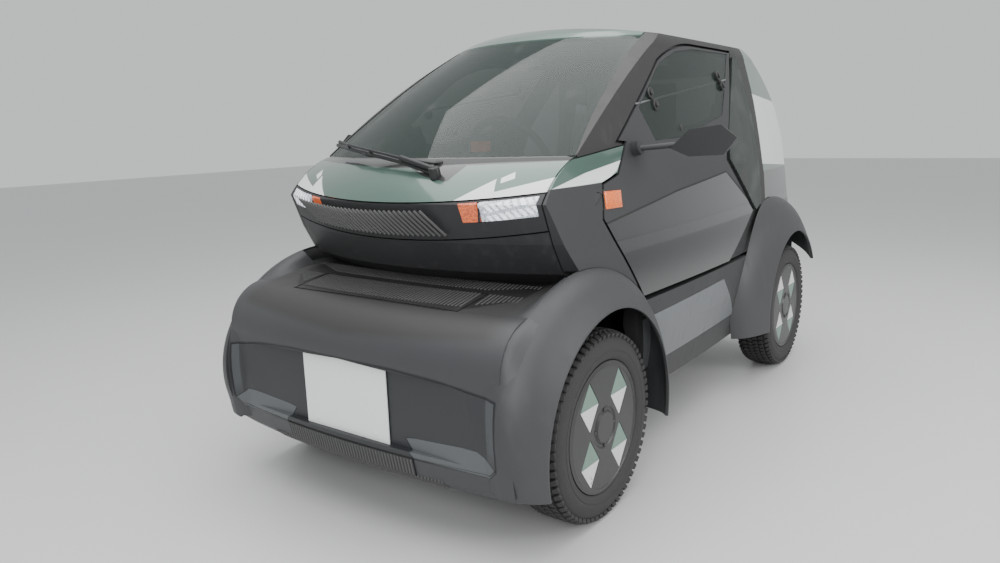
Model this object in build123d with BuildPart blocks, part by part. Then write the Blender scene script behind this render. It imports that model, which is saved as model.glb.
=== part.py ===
import os
from math import cos, radians, sin, sqrt

from build123d import *

os.makedirs("parts", exist_ok=True)

# Overall sizes, millimetres. X is across the car with its left side at +X, the nose faces -Y, Z is up.
LENGTH = 2430
WIDTH = 1300
HEIGHT = 1460
FRONT_END_Y = -LENGTH / 2
REAR_END_Y = LENGTH / 2
FRONT_AXLE_Y = -785
REAR_AXLE_Y = 915
SIDE_SEAM = 6
DOOR_SEAM = 9.5
SIDE_START = 250
PANEL_SEAM = 4
GLASS_SEAM = 0.8
SEAT_GAP = 0.3

# Wall thicknesses
SKIN = 12
FRAME = 38
DOOR_SKIN = 8
DOOR_DEPTH = 40
GLASS_INSET = 2
GLASS = 6
PLASTIC = 8

# Cabin form: a nose and windscreen turned about an upright axis, a straight rear and barrelled sides
FORM_AXIS_Y = 300
FORM_FLOOR_Z = 250
FORM_TOP_Z = HEIGHT + 20
ROOF_RADIUS = 380
SCREEN_TOP = (560, HEIGHT - 24)
SCREEN_MIDDLE = (865, 1252)
SCREEN_FOOT = (1170, 1037)
BROW = (1325, 920)
BROW_MIDDLE = (1265, 985)
BAND_FOOT = (1281, 807)
NOSE_FOOT = (1233, 717)
APRON_FOOT = (1120, 640)
TAIL_TOP_Y = 440
TAIL_SHOULDER = (800, 1428)
TAIL_SLOPE_FOOT = (1090, 1250)
TAIL_BEND = (1185, 1120)
TAIL_BELT = (REAR_END_Y - 4, 960)
TAIL_FOOT = (REAR_END_Y - 18, 640)
HALF_WIDTH = 582
BARREL_R = 14000
BARREL_ANGLE = 8
CROWN_DROP = 35
CROWN_HALF = 430
REACH = 3000

# Side outlines, as (y, z)
HOOP_FOOT = [(-745, 1036), (-483, 1062)]
DOOR_LOWER_FRONT = (-466, 583)
DOOR_NOSE = (-662, 852)
DOOR_SHOULDER = (-640, 958)
PATCH_REAR = (-546, 981)
PATCH_TOP = (-483, 1062)
DOOR_PILLAR = (-537, 1067)
DOOR_ROOF_FRONT = (-157, 1333)
DOOR_ROOF_BEND = (0, 1385)
DOOR_ROOF = (169, 1403)
DOOR_ROOF_REAR = (600, 1405)
DOOR_WAIST = (339, 975)
DOOR_REAR = (605, 748)
DOOR_LOWER_REAR = (268, 577)
DOOR_CORNER_R = 18
FRAME_LAND = 28
CORE_LAND = 68

WINDOW = [(-352, 1172), (-275, 1066), (-80, 1070), (352, 1142), (548, 1388), (169, 1384), (0, 1366), (-150, 1318)]
GLOSS_TOP = [(-640, 838), (-162, 894), (304, 928)]
QUARTER = [(668, 1392), (745, 1107), (748, 885), (724, 762), (638, 748), (372, 975), (412, 1112), (625, 1392)]
PILLAR_REAR = [(760, 1470), (800, 1200), (800, 885), (775, 735)]
SEAM_X = 508
SCREEN_CORNER_Y = -730
SCREEN_CORNER_Z = 1000

# Wheels
TYRE_R = 278.5
TYRE_WIDTH = 150
WHEEL_X = 545
RIM_R = 178
COVER_R = 192
COVER_FACE = 70
SPINDLE_R = 16
SPINDLE_GAP = 0.05
KINGPIN_X = 440
FENDER_TOP_R = 450
LIP_R = 345
FENDER_INNER_X = 546
FENDER_EDGE = 5
# Fender outlines: radius about the wheel centre every 30 degrees, from straight ahead over the top
FRONT_FENDER_RADII = [410, 452, 452, 450, 455, 440, 400, 380, 365, 365, 375, 395]
REAR_FENDER_RADII = [530, 555, 530, 500, 468, 372, 345, 345, 360, 380, 430, 490]
FENDER_FLARE = [(0, 1), (45, 0.8), (85, 0.35), (104, 0)]
FRONT_FENDER_END_Z = 205
REAR_FENDER_END_Z = 235
REAR_FENDER_TAIL_Z = 452

# Nose lines in the front view, as heights at the middle and at the seam
SCREEN_TOP_R = 595
SCREEN_FOOT_R = 1162
BAND_TOP = (920, 950)
BAND_BOTTOM = (809, 846)
APRON_BOTTOM = (642, 650)
LAMP_TOP = (914, 944)
LAMP_BOTTOM = (858, 890)
AMBER_X = (282, 334)
LAMP_X = (338, 492)
ROOF_REAR_Y = 832
REAR_WINDOW_HALF = 330
REAR_WINDOW_Z = (1010, 1330)
TAIL_LAMP_X = (300, 440)
TAIL_LAMP_Z = (800, 880)

# Lower body
BUMPER_HALF = 542
BUMPER_TURN_R = 4000
RAIL_X = 255
RAIL_SIZE = 50
FLOOR_Z = 262
FLOOR_THICK = 24
TUB_HALF = 500
STEER_LIMIT = 32


def side_prism(points, shrink=0, corner=0):
    """Block through the left side of the car with a side outline, drawn inwards by shrink."""
    with BuildPart() as prism:
        with BuildSketch(Plane.YZ.offset(SIDE_START)) as outline:
            with BuildLine():
                Polyline(*points, close=True)
            make_face()
            if corner:
                fillet(outline.vertices(), corner)
            if shrink:
                offset(amount=-shrink, kind=Kind.INTERSECTION)
        extrude(amount=WIDTH / 2 + 50 - SIDE_START)
    return prism.part


def door_prism(shrink):
    """Block through the left side with the door opening's outline, drawn inwards by shrink."""
    with BuildPart() as prism:
        with BuildSketch(Plane.YZ.offset(SIDE_START)):
            with BuildLine():
                Polyline(
                    DOOR_ROOF_REAR, DOOR_WAIST, DOOR_REAR, DOOR_LOWER_REAR, DOOR_LOWER_FRONT,
                    DOOR_NOSE, DOOR_SHOULDER, PATCH_REAR, PATCH_TOP, DOOR_PILLAR, DOOR_ROOF_FRONT,
                )
                ThreePointArc(DOOR_ROOF_FRONT, DOOR_ROOF_BEND, DOOR_ROOF)
                Line(DOOR_ROOF, DOOR_ROOF_REAR)
            make_face()
            if shrink:
                offset(amount=-shrink, kind=Kind.INTERSECTION)
        extrude(amount=WIDTH / 2 + 50 - SIDE_START)
    return prism.part


def front_form(inset):
    """Nose and windscreen, turned about the upright axis, with a straight block behind it."""
    c = FORM_AXIS_Y

    def at(point):
        return (c - point[0], point[1])

    with BuildPart() as form:
        with BuildSketch(Plane.YZ):
            with BuildLine():
                Line((c, FORM_TOP_Z), (c - ROOF_RADIUS, FORM_TOP_Z))
                ThreePointArc((c - ROOF_RADIUS, FORM_TOP_Z), (c - 480, HEIGHT + 5), at(SCREEN_TOP))
                ThreePointArc(at(SCREEN_TOP), at(SCREEN_MIDDLE), at(SCREEN_FOOT))
                ThreePointArc(at(SCREEN_FOOT), at(BROW_MIDDLE), at(BROW))
                Polyline(
                    at(BROW), at(BAND_FOOT), at(NOSE_FOOT), at(APRON_FOOT),
                    (c - 1100, FORM_FLOOR_Z - 50), (c, FORM_FLOOR_Z - 50),
                )
                mirror(about=Plane.YZ.offset(c))
            make_face()
            if inset:
                offset(amount=-inset, kind=Kind.INTERSECTION)
            with Locations((c + REACH / 2, HEIGHT / 2)):
                Rectangle(REACH, REACH, mode=Mode.SUBTRACT)
        revolve(axis=Axis((0, c, 0), (0, 0, 1)), revolution_arc=360)
        height = FORM_TOP_Z - FORM_FLOOR_Z + 50 - 2 * inset
        with Locations((0, c, FORM_FLOOR_Z - 50 + inset)):
            Box(1400, 1400, height, align=(Align.CENTER, Align.MIN, Align.MIN))
    return form.part


def side_form(inset):
    """Left side of the cabin, a section turned about a far upright axis so that the side is barrelled."""
    turn = radians(BARREL_ANGLE)
    b = BARREL_R - HALF_WIDTH
    start = Plane(origin=(-b, 0, 0), x_dir=(cos(turn), -sin(turn), 0), z_dir=(-sin(turn), -cos(turn), 0))
    with BuildPart() as form:
        with BuildSketch(start):
            with BuildLine():
                Polyline((b - 900, FORM_FLOOR_Z), (b + 540, FORM_FLOOR_Z), (b + 572, 430))
                ThreePointArc((b + 572, 430), (b + HALF_WIDTH, 600), (b + 566, 780))
                ThreePointArc((b + 566, 780), (b + 528, 1050), (b + 460, 1370))
                ThreePointArc((b + 460, 1370), (b + 440, 1422), (b + 400, 1456))
                Polyline((b + 400, 1456), (b + 330, 1490), (b - 900, 1560), (b - 900, FORM_FLOOR_Z))
            make_face()
            if inset:
                offset(amount=-inset)
        revolve(axis=Axis((-b, 0, 0), (0, 0, 1)), revolution_arc=2 * BARREL_ANGLE)
    return form.part


def rear_form(inset):
    """Roof and tail, drawn as a side outline and run across the car."""
    with BuildPart() as form:
        with BuildSketch(Plane.YZ.offset(-700)):
            with BuildLine():
                Polyline((-1500, 200), (-1500, FORM_TOP_Z), (TAIL_TOP_Y, FORM_TOP_Z))
                ThreePointArc((TAIL_TOP_Y, FORM_TOP_Z), TAIL_SHOULDER, TAIL_SLOPE_FOOT)
                ThreePointArc(TAIL_SLOPE_FOOT, TAIL_BEND, TAIL_BELT)
                Polyline(TAIL_BELT, TAIL_FOOT, (TAIL_FOOT[0] - 50, 200), (-1500, 200))
            make_face()
            if inset:
                offset(amount=-inset, kind=Kind.INTERSECTION)
        extrude(amount=1400)
    return form.part


def crown_form(inset):
    """Roof crown across the car."""
    edge_z = HEIGHT - CROWN_DROP * (700 / CROWN_HALF) ** 2 - inset
    with BuildPart() as form:
        with BuildSketch(Plane.XZ.offset(1600)):
            with BuildLine():
                Polyline((-700, edge_z), (-700, 200), (700, 200), (700, edge_z))
                ThreePointArc((700, edge_z), (0, HEIGHT - inset), (-700, edge_z))
            make_face()
        extrude(amount=-3200)
    return form.part


def cabin_form(inset):
    """Whole outer form of the cabin with every face moved inwards by inset."""
    side = side_form(inset)
    with BuildPart() as form:
        add(front_form(inset))
        add(rear_form(inset), mode=Mode.INTERSECT)
        add(crown_form(inset), mode=Mode.INTERSECT)
        add(side, mode=Mode.INTERSECT)
        add(side.mirror(Plane.YZ), mode=Mode.INTERSECT)
    return form.part


def panel(region, outer_inset, inner_inset):
    """Stretch of the cabin's wall inside a region, between two insets."""
    with BuildPart() as wall:
        add(region)
        add(forms[outer_inset], mode=Mode.INTERSECT)
        add(forms[inner_inset], mode=Mode.SUBTRACT)
    return wall.part


def hoop_line(step):
    """Plan outline inside the two roof hoops, drawn inwards by step."""
    right = [(556, -880), (508, -754), (474, -604), (438, -386), (408, -167), (394, 0), (388, 300), (388, 980)]
    return [(x - step, y) for x, y in right]


def between_hoops(step, low, high):
    """Block between the hoops."""
    right = hoop_line(step)
    left = [(-x, y) for x, y in reversed(right)]
    with BuildPart() as block:
        with BuildSketch(Plane.XY.offset(low)):
            with BuildLine():
                Polyline(*right, *left, close=True)
            make_face()
        extrude(amount=high - low)
    return block.part


def both_sides(piece):
    """A left-hand piece with its mirror image, as one node."""
    with BuildPart() as pair:
        add(piece)
        mirror(about=Plane.YZ)
    return pair.part


def save(piece, name):
    piece.label = name
    export_step(piece, "parts/" + name + ".step")


levels = [0, GLASS_INSET, DOOR_SKIN, SKIN, SKIN + SEAT_GAP, DOOR_SKIN + DOOR_DEPTH, SKIN + FRAME]
forms = {level: cabin_form(level) for level in levels}
door_opening = door_prism(0)


def wheel_cylinder(axle_y, radius, inner_x, outer_x):
    """Cylinder about a left wheel's axle."""
    with BuildPart() as cylinder:
        with BuildSketch(Plane.YZ.offset(inner_x)):
            with Locations((axle_y, TYRE_R)):
                Circle(radius)
        extrude(amount=outer_x - inner_x)
    return cylinder.part


front_arch = wheel_cylinder(FRONT_AXLE_Y, FENDER_TOP_R + SEAT_GAP, 0, WIDTH / 2 + 50)
rear_arch = wheel_cylinder(REAR_AXLE_Y, LIP_R + 30, 0, WIDTH / 2 + 50)


# Roof hoops: the dark band from the nose over the door to the rear fender, one each side
hoop_outline = (
    [HOOP_FOOT[0], HOOP_FOOT[1], DOOR_PILLAR, (-300, 1200), (300, 1300), (650, 1392)]
    + QUARTER[1:4]
    + PILLAR_REAR[::-1]
    + [(760, 1500), (-300, 1500), (-760, 1100)]
)
with BuildPart() as hoop_left:
    add(panel(side_prism(hoop_outline), 0, SKIN))
    add(between_hoops(0, 600, 1500), mode=Mode.SUBTRACT)
    add(door_opening, mode=Mode.SUBTRACT)
    add(side_prism(QUARTER), mode=Mode.SUBTRACT)
save(both_sides(hoop_left.part), "roof_hoops")

# Door hinge: a pin on a box in the front corner of the frame, on an axis that tips outwards and down
HINGE_POINT = (505, -672, 915)
HINGE_AXIS = (0.8, 0.3, -0.52)
HINGE_PIN_R = 7
HINGE_GAP = 0.05
HINGE_LUG_R = 14
HINGE_LUG_HALF = 6
HINGE_ARM_END = (525, -540, 800)
HINGE_ARM_R = 8
HINGE_BOX_X = 480
HINGE_PLATE = 10
HINGE_BOX_Y = (-735, -600)
HINGE_BOX_Z = (775, 1000)
hinge_plane = Plane(origin=HINGE_POINT, z_dir=HINGE_AXIS)


def hinge_cylinder(radius, low, high):
    """Cylinder about the left door's hinge axis."""
    with BuildPart() as cylinder:
        with BuildSketch(hinge_plane.offset(low)):
            Circle(radius)
        extrude(amount=high - low)
    return cylinder.part


def box_between(xs, ys, zs):
    """Box between two values on each axis."""
    with BuildPart() as block:
        with Locations((sum(xs) / 2, sum(ys) / 2, sum(zs) / 2)):
            Box(xs[1] - xs[0], ys[1] - ys[0], zs[1] - zs[0])
    return block.part


def rod(start, end, radius):
    """Straight round rod between two points."""
    path = Vector(*end) - Vector(*start)
    with BuildPart() as bar:
        with BuildSketch(Plane(origin=start, z_dir=path)):
            Circle(radius)
        extrude(amount=path.length)
    return bar.part


# Cabin frames: the pressed ring round each door opening, under the skins
FRAME_LIP = 25
NOSE_BEAM_Z = (790, 850)
ring_outline = [(-730, 585), (-730, 1030), (-300, 1480), (760, 1480), (790, 1200), (790, 770), (700, 585)]
with BuildPart() as frame_left:
    add(panel(side_prism(ring_outline), SKIN + SEAT_GAP, SKIN + FRAME))
    add(between_hoops(FRAME_LIP, 500, 1500), mode=Mode.SUBTRACT)
    add(door_prism(FRAME_LAND), mode=Mode.SUBTRACT)
    add(side_prism(QUARTER, shrink=18), mode=Mode.SUBTRACT)
    add(wheel_cylinder(FRONT_AXLE_Y, FENDER_TOP_R + 20, 0, WIDTH), mode=Mode.SUBTRACT)
    add(wheel_cylinder(REAR_AXLE_Y, LIP_R + 60, 0, WIDTH), mode=Mode.SUBTRACT)
    with BuildPart(mode=Mode.PRIVATE) as hinge_box:
        add(box_between((HINGE_BOX_X, HINGE_BOX_X + 35), HINGE_BOX_Y, HINGE_BOX_Z))
        add(forms[SKIN + SEAT_GAP], mode=Mode.INTERSECT)
    add(hinge_box.part)
    pocket_y = (HINGE_BOX_Y[0] + 2 * HINGE_PLATE, HINGE_BOX_Y[1] + 80)
    pocket_z = (HINGE_BOX_Z[0] + HINGE_PLATE, HINGE_BOX_Z[1] - HINGE_PLATE)
    add(box_between((HINGE_BOX_X + HINGE_PLATE, WIDTH / 2), pocket_y, pocket_z), mode=Mode.SUBTRACT)
    add(hinge_cylinder(HINGE_PIN_R, -26, 13))
nose_beam = box_between((-WIDTH / 2, WIDTH / 2), (FRONT_END_Y, ring_outline[0][0] + 15), NOSE_BEAM_Z)
with BuildPart() as cabin_frames:
    add(both_sides(frame_left.part))
    add(panel(nose_beam, SKIN + SEAT_GAP, SKIN + FRAME))
save(cabin_frames.part, "cabin_frames")

# Doors: an outer skin with a thin land all round, and a box frame inside it
with BuildPart() as door_left:
    add(panel(door_prism(DOOR_SEAM), 0, DOOR_SKIN))
    add(panel(door_prism(CORE_LAND), DOOR_SKIN, DOOR_SKIN + DOOR_DEPTH))
    add(side_prism(WINDOW), mode=Mode.SUBTRACT)
    add(rod(HINGE_POINT, HINGE_ARM_END, HINGE_ARM_R))
    add(hinge_cylinder(HINGE_LUG_R, -HINGE_LUG_HALF, HINGE_LUG_HALF))
    add(hinge_cylinder(HINGE_PIN_R + HINGE_GAP, -HINGE_LUG_R, HINGE_LUG_R), mode=Mode.SUBTRACT)
save(door_left.part, "door_left")
save(door_left.part.mirror(Plane.YZ), "door_right")

with BuildPart() as door_glass_left:
    add(panel(side_prism(WINDOW, shrink=SEAT_GAP), GLASS_INSET, DOOR_SKIN))
save(door_glass_left.part, "door_glass_left")
save(door_glass_left.part.mirror(Plane.YZ), "door_glass_right")


def nose_lines(low, high, half):
    """Block in front of the cabin between two bowed lines of the front view."""
    with BuildPart() as block:
        with BuildSketch(Plane.XZ.offset(760)):
            with BuildLine():
                ThreePointArc((-half, low[1]), (0, low[0]), (half, low[1]))
                Line((half, low[1]), (half, high[1]))
                ThreePointArc((half, high[1]), (0, high[0]), (-half, high[1]))
                Line((-half, high[1]), (-half, low[1]))
            make_face()
        extrude(amount=600)
    return block.part


def axis_disc(radius, low, high):
    """Upright cylinder about the form's axis."""
    with BuildPart() as disc:
        with Locations((0, FORM_AXIS_Y, low)):
            Cylinder(radius, high - low, align=(Align.CENTER, Align.CENTER, Align.MIN))
    return disc.part


def raised(line, step):
    return (line[0] + step, line[1] + step)


# Windscreen, bounded by the hoops and by two arcs about the form's axis
with BuildPart() as screen_region:
    add(between_hoops(GLASS_SEAM, 950, 1500))
    add(axis_disc(SCREEN_FOOT_R, 900, 1500), mode=Mode.INTERSECT)
    add(axis_disc(SCREEN_TOP_R, 900, 1500), mode=Mode.SUBTRACT)
    with Locations((0, FORM_AXIS_Y, 1200)):
        Box(2000, 2000, 800, align=(Align.CENTER, Align.MIN, Align.CENTER), mode=Mode.SUBTRACT)
save(panel(screen_region.part, GLASS_INSET, DOOR_SKIN), "windscreen")

with BuildPart() as roof_region:
    add(axis_disc(SCREEN_TOP_R - PANEL_SEAM, 1250, 1500))
    with Locations((0, FORM_AXIS_Y, 1250)):
        Box(1000, ROOF_REAR_Y - FORM_AXIS_Y, 250, align=(Align.CENTER, Align.MIN, Align.MIN))
    add(between_hoops(PANEL_SEAM, 1250, 1500), mode=Mode.INTERSECT)
    with Locations((0, ROOF_REAR_Y, 1250)):
        Box(1000, 500, 250, align=(Align.CENTER, Align.MIN, Align.MIN), mode=Mode.SUBTRACT)
save(panel(roof_region.part, 0, SKIN), "roof_panel")

# Nose: painted brow, ribbed dark band with the lamps, and the apron under it
with BuildPart() as brow_region:
    add(nose_lines(raised(BAND_TOP, PANEL_SEAM / 2), (1100, 1110), SEAM_X - 2))
    add(axis_disc(SCREEN_FOOT_R + PANEL_SEAM, 850, 1500), mode=Mode.SUBTRACT)
save(panel(brow_region.part, 0, SKIN), "nose_panel")

lamp_block = nose_lines(LAMP_BOTTOM, LAMP_TOP, SEAM_X - 2)
with BuildPart() as lamp_windows:
    add(lamp_block)
    with Locations((0, -1000, 900)):
        Box(2 * AMBER_X[0] - 4, 1000, 500, mode=Mode.SUBTRACT)
    with Locations((LAMP_X[1] + 2, -1000, 900), (-LAMP_X[1] - 102, -1000, 900)):
        Box(100, 1000, 500, align=(Align.MIN, Align.CENTER, Align.CENTER), mode=Mode.SUBTRACT)
with BuildPart() as nose_band:
    add(panel(nose_lines(raised(BAND_BOTTOM, 2), raised(BAND_TOP, -2), SEAM_X - 2), 0, SKIN))
    add(lamp_windows.part, mode=Mode.SUBTRACT)
save(nose_band.part, "nose_band")

with BuildPart() as lamp_left:
    add(nose_lines(raised(LAMP_BOTTOM, SEAT_GAP), raised(LAMP_TOP, -SEAT_GAP), SEAM_X - 2))
    with Locations((0, -1000, 900)):
        Box(2 * AMBER_X[0] - 4 + 2 * SEAT_GAP, 1000, 500, mode=Mode.SUBTRACT)
        Box(1500, 1000, 500, align=(Align.MAX, Align.CENTER, Align.CENTER), mode=Mode.SUBTRACT)
    with Locations((LAMP_X[1] + 2 - SEAT_GAP, -1000, 900), ((AMBER_X[1] + LAMP_X[0]) / 2, -1000, 900)):
        Box(4, 1000, 500, mode=Mode.SUBTRACT)
    with Locations((LAMP_X[1] + 2, -1000, 900)):
        Box(200, 1000, 500, align=(Align.MIN, Align.CENTER, Align.CENTER), mode=Mode.SUBTRACT)
    add(forms[0], mode=Mode.INTERSECT)
    add(forms[SKIN + FRAME], mode=Mode.SUBTRACT)
save(both_sides(lamp_left.part), "headlamps")

save(panel(nose_lines(APRON_BOTTOM, raised(BAND_BOTTOM, -2), SEAM_X - 2), 0, SKIN), "nose_apron")

# Side cowls: the patch under each hoop's foot and the dark corner down to the front fender
cowl_outline = [
    (-1000, 640), (-1000, 1010), (HOOP_FOOT[0][0], HOOP_FOOT[0][1] - 4), (HOOP_FOOT[1][0], HOOP_FOOT[1][1] - 4),
    (-400, 1000), (-400, 585),
]
with BuildPart() as cowl_left:
    add(panel(side_prism(cowl_outline), 0, SKIN))
    add(door_opening, mode=Mode.SUBTRACT)
    add(front_arch, mode=Mode.SUBTRACT)
    with Locations((0, -760, 800)):
        Box(2 * SEAM_X + 4, 1000, 1000, align=(Align.CENTER, Align.MAX, Align.CENTER), mode=Mode.SUBTRACT)
    with Locations((0, SCREEN_CORNER_Y, SCREEN_CORNER_Z)):
        Box(2 * SEAM_X - 1, 400, 200, align=(Align.CENTER, Align.MAX, Align.MIN), mode=Mode.SUBTRACT)
    add(hinge_cylinder(2 * HINGE_LUG_R, 0, 2 * HINGE_LUG_R), mode=Mode.SUBTRACT)
save(both_sides(cowl_left.part), "side_cowls")

# Quarter windows behind the doors
with BuildPart() as quarter_left:
    add(panel(side_prism(QUARTER, shrink=SEAT_GAP), 0, DOOR_SKIN))
    add(door_opening, mode=Mode.SUBTRACT)
save(both_sides(quarter_left.part), "quarter_windows")

# Tail: painted shell behind the hoops with the rear window and lamp openings
with BuildPart() as tail_region:
    with BuildSketch(Plane.YZ.offset(-700)):
        with BuildLine():
            rear_seam = [(y + PANEL_SEAM, z) for y, z in PILLAR_REAR]
            Polyline((1300, 1500), (rear_seam[0][0], 1500), *rear_seam, (760, 642), (1300, 642), close=True)
        make_face()
    extrude(amount=1400)
    with Locations((0, ROOF_REAR_Y + PANEL_SEAM, 1250)):
        Box(2 * CROWN_HALF - 80, 500, 400, align=(Align.CENTER, Align.MAX, Align.MIN), mode=Mode.SUBTRACT)
with BuildPart() as tail_cuts:
    with BuildSketch(Plane.XZ.offset(-1300)):
        with Locations((0, sum(REAR_WINDOW_Z) / 2)):
            RectangleRounded(2 * REAR_WINDOW_HALF, REAR_WINDOW_Z[1] - REAR_WINDOW_Z[0], 40)
    extrude(amount=500)
with BuildPart() as tail_lamp_cut:
    with BuildSketch(Plane.XZ.offset(-1300)):
        with Locations((sum(TAIL_LAMP_X) / 2, sum(TAIL_LAMP_Z) / 2)):
            RectangleRounded(TAIL_LAMP_X[1] - TAIL_LAMP_X[0], TAIL_LAMP_Z[1] - TAIL_LAMP_Z[0], 12)
    extrude(amount=300)
with BuildPart() as tail_shell:
    add(panel(tail_region.part, 0, SKIN))
    add(tail_cuts.part, mode=Mode.SUBTRACT)
    add(both_sides(tail_lamp_cut.part), mode=Mode.SUBTRACT)
    add(both_sides(wheel_cylinder(REAR_AXLE_Y, 490, 300, 700)), mode=Mode.SUBTRACT)
save(tail_shell.part, "tail_shell")
save(panel(tail_cuts.part, GLASS_INSET, DOOR_SKIN), "rear_window")
save(both_sides(panel(tail_lamp_cut.part, 0, SKIN + FRAME)), "tail_lamps")

# Sills under the doors, with the pale panels let into them
sill_outline = [(-500, FORM_FLOOR_Z), (-500, 574), (600, 574), (600, FORM_FLOOR_Z)]
SILL_PANEL = [(-420, 334), (-470, 516), (215, 526), (330, 420), (400, 344)]
with BuildPart() as sill_left:
    add(panel(side_prism(sill_outline), 0, SKIN + FRAME))
    add(panel(side_prism(SILL_PANEL), 0, DOOR_SKIN), mode=Mode.SUBTRACT)
    add(wheel_cylinder(FRONT_AXLE_Y, LIP_R + 12, 0, WIDTH), mode=Mode.SUBTRACT)
    add(wheel_cylinder(REAR_AXLE_Y, LIP_R + 60, 0, WIDTH), mode=Mode.SUBTRACT)
    Box(2 * TUB_HALF + 2 * SEAT_GAP, REACH, REACH, mode=Mode.SUBTRACT)
save(both_sides(sill_left.part), "sills")
with BuildPart() as sill_panel_left:
    add(panel(side_prism(SILL_PANEL, shrink=1.5), 0, DOOR_SKIN))
    add(wheel_cylinder(FRONT_AXLE_Y, LIP_R + 14, 0, WIDTH), mode=Mode.SUBTRACT)
save(both_sides(sill_panel_left.part), "sill_panels")


def fender_section(axle_y, radii, blend, trim):
    """Points of a fender's outline, drawn towards the lip as blend falls from one to nothing."""
    lip = LIP_R + FENDER_EDGE - trim
    points = []
    for step, radius in enumerate(radii):
        r = lip + (radius - trim - lip) * blend
        angle = radians(step * 360 / len(radii))
        points.append((axle_y - r * cos(angle), TYRE_R + r * sin(angle)))
    return points


def fender_bowl(axle_y, radii, trim):
    """Flared form from the cabin's side out to the wheel arch lip."""
    with BuildPart() as bowl:
        for step, blend in FENDER_FLARE:
            with BuildSketch(Plane.YZ.offset(FENDER_INNER_X + step - (trim if blend == 0 else 0))):
                with BuildLine():
                    Spline(*fender_section(axle_y, radii, blend, trim), periodic=True)
                make_face()
        loft()
    return bowl.part


def fender(axle_y, radii):
    """One thin flared fender, open at the wheel."""
    with BuildPart() as skin:
        add(fender_bowl(axle_y, radii, 0))
        add(fender_bowl(axle_y, radii, PLASTIC), mode=Mode.SUBTRACT)
        add(wheel_cylinder(axle_y, LIP_R, 0, WIDTH), mode=Mode.SUBTRACT)
        add(forms[0], mode=Mode.SUBTRACT)
    return skin.part


with BuildPart() as front_fender_left:
    add(fender(FRONT_AXLE_Y, FRONT_FENDER_RADII))
    Box(REACH, REACH, 2 * FRONT_FENDER_END_Z, mode=Mode.SUBTRACT)
save(both_sides(front_fender_left.part), "front_fenders")

with BuildPart() as rear_fender_left:
    add(fender(REAR_AXLE_Y, REAR_FENDER_RADII))
    Box(REACH, REACH, 2 * REAR_FENDER_END_Z, mode=Mode.SUBTRACT)
    with Locations((0, REAR_AXLE_Y, REAR_FENDER_TAIL_Z)):
        Box(REACH, 1000, 1000, align=(Align.CENTER, Align.MIN, Align.MAX), mode=Mode.SUBTRACT)
    with Locations((0, REAR_END_Y, 500)):
        Box(REACH, 200, 1000, align=(Align.CENTER, Align.MIN, Align.CENTER), mode=Mode.SUBTRACT)
save(both_sides(rear_fender_left.part), "rear_fenders")

# Front bumper: a section turned about a far upright axis, with the plate recess and the ribbed top
BUMPER_OUTLINE = [(-1060, 160), (-1160, 172), (-1196, 205), (-1211, 270), (-1215, 400), (-1213, 500)]
BUMPER_BROW = [(-1213, 500), (-1190, 590), (-1085, 648)]
BUMPER_TOP = [(-1085, 648), (-930, 672), (-740, 690)]
RECESS = [(-535, 480), (0, 503), (535, 480), (470, 278), (-470, 278)]
RECESS_DEPTH = 26
LID_FRONT_Y = -1076
LID_HINGE_Y = -948
LID_HALF = 330
LID_THICK = 10
LID_GAP = 6
LID_REAR_GAP = 10
LID_PIVOT = (-956, 661.5)
LID_PIN_R = 3
LID_PIN_LENGTH = 14
LID_PIN_GAP = 0.05


def lid_pin(radius, start_x, end_x):
    """Cylinder along the lid's hinge line on the left side."""
    with BuildPart() as pin:
        with BuildSketch(Plane.YZ.offset(start_x)):
            with Locations(LID_PIVOT):
                Circle(radius)
        extrude(amount=end_x - start_x)
    return pin.part


def turned_front(inset, far_y=-740, foot_z=100):
    """Bumper and bonnet form with its faces moved inwards by inset."""
    turn = radians(9)
    centre_y = FRONT_END_Y + BUMPER_TURN_R

    def at(point):
        return (centre_y - point[0], point[1])

    start = Plane(origin=(0, centre_y, 0), x_dir=(-sin(turn), -cos(turn), 0), z_dir=(-cos(turn), sin(turn), 0))
    with BuildPart() as form:
        with BuildSketch(start):
            with BuildLine():
                Polyline(at((far_y, foot_z)), at((-1060, foot_z)), *[at(p) for p in BUMPER_OUTLINE])
                ThreePointArc(*[at(p) for p in BUMPER_BROW])
                Polyline(*[at(p) for p in BUMPER_TOP], at((far_y, foot_z)))
            make_face()
            if inset:
                offset(amount=-inset)
        revolve(axis=Axis((0, centre_y, 0), (0, 0, 1)), revolution_arc=18)
    return form.part


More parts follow.
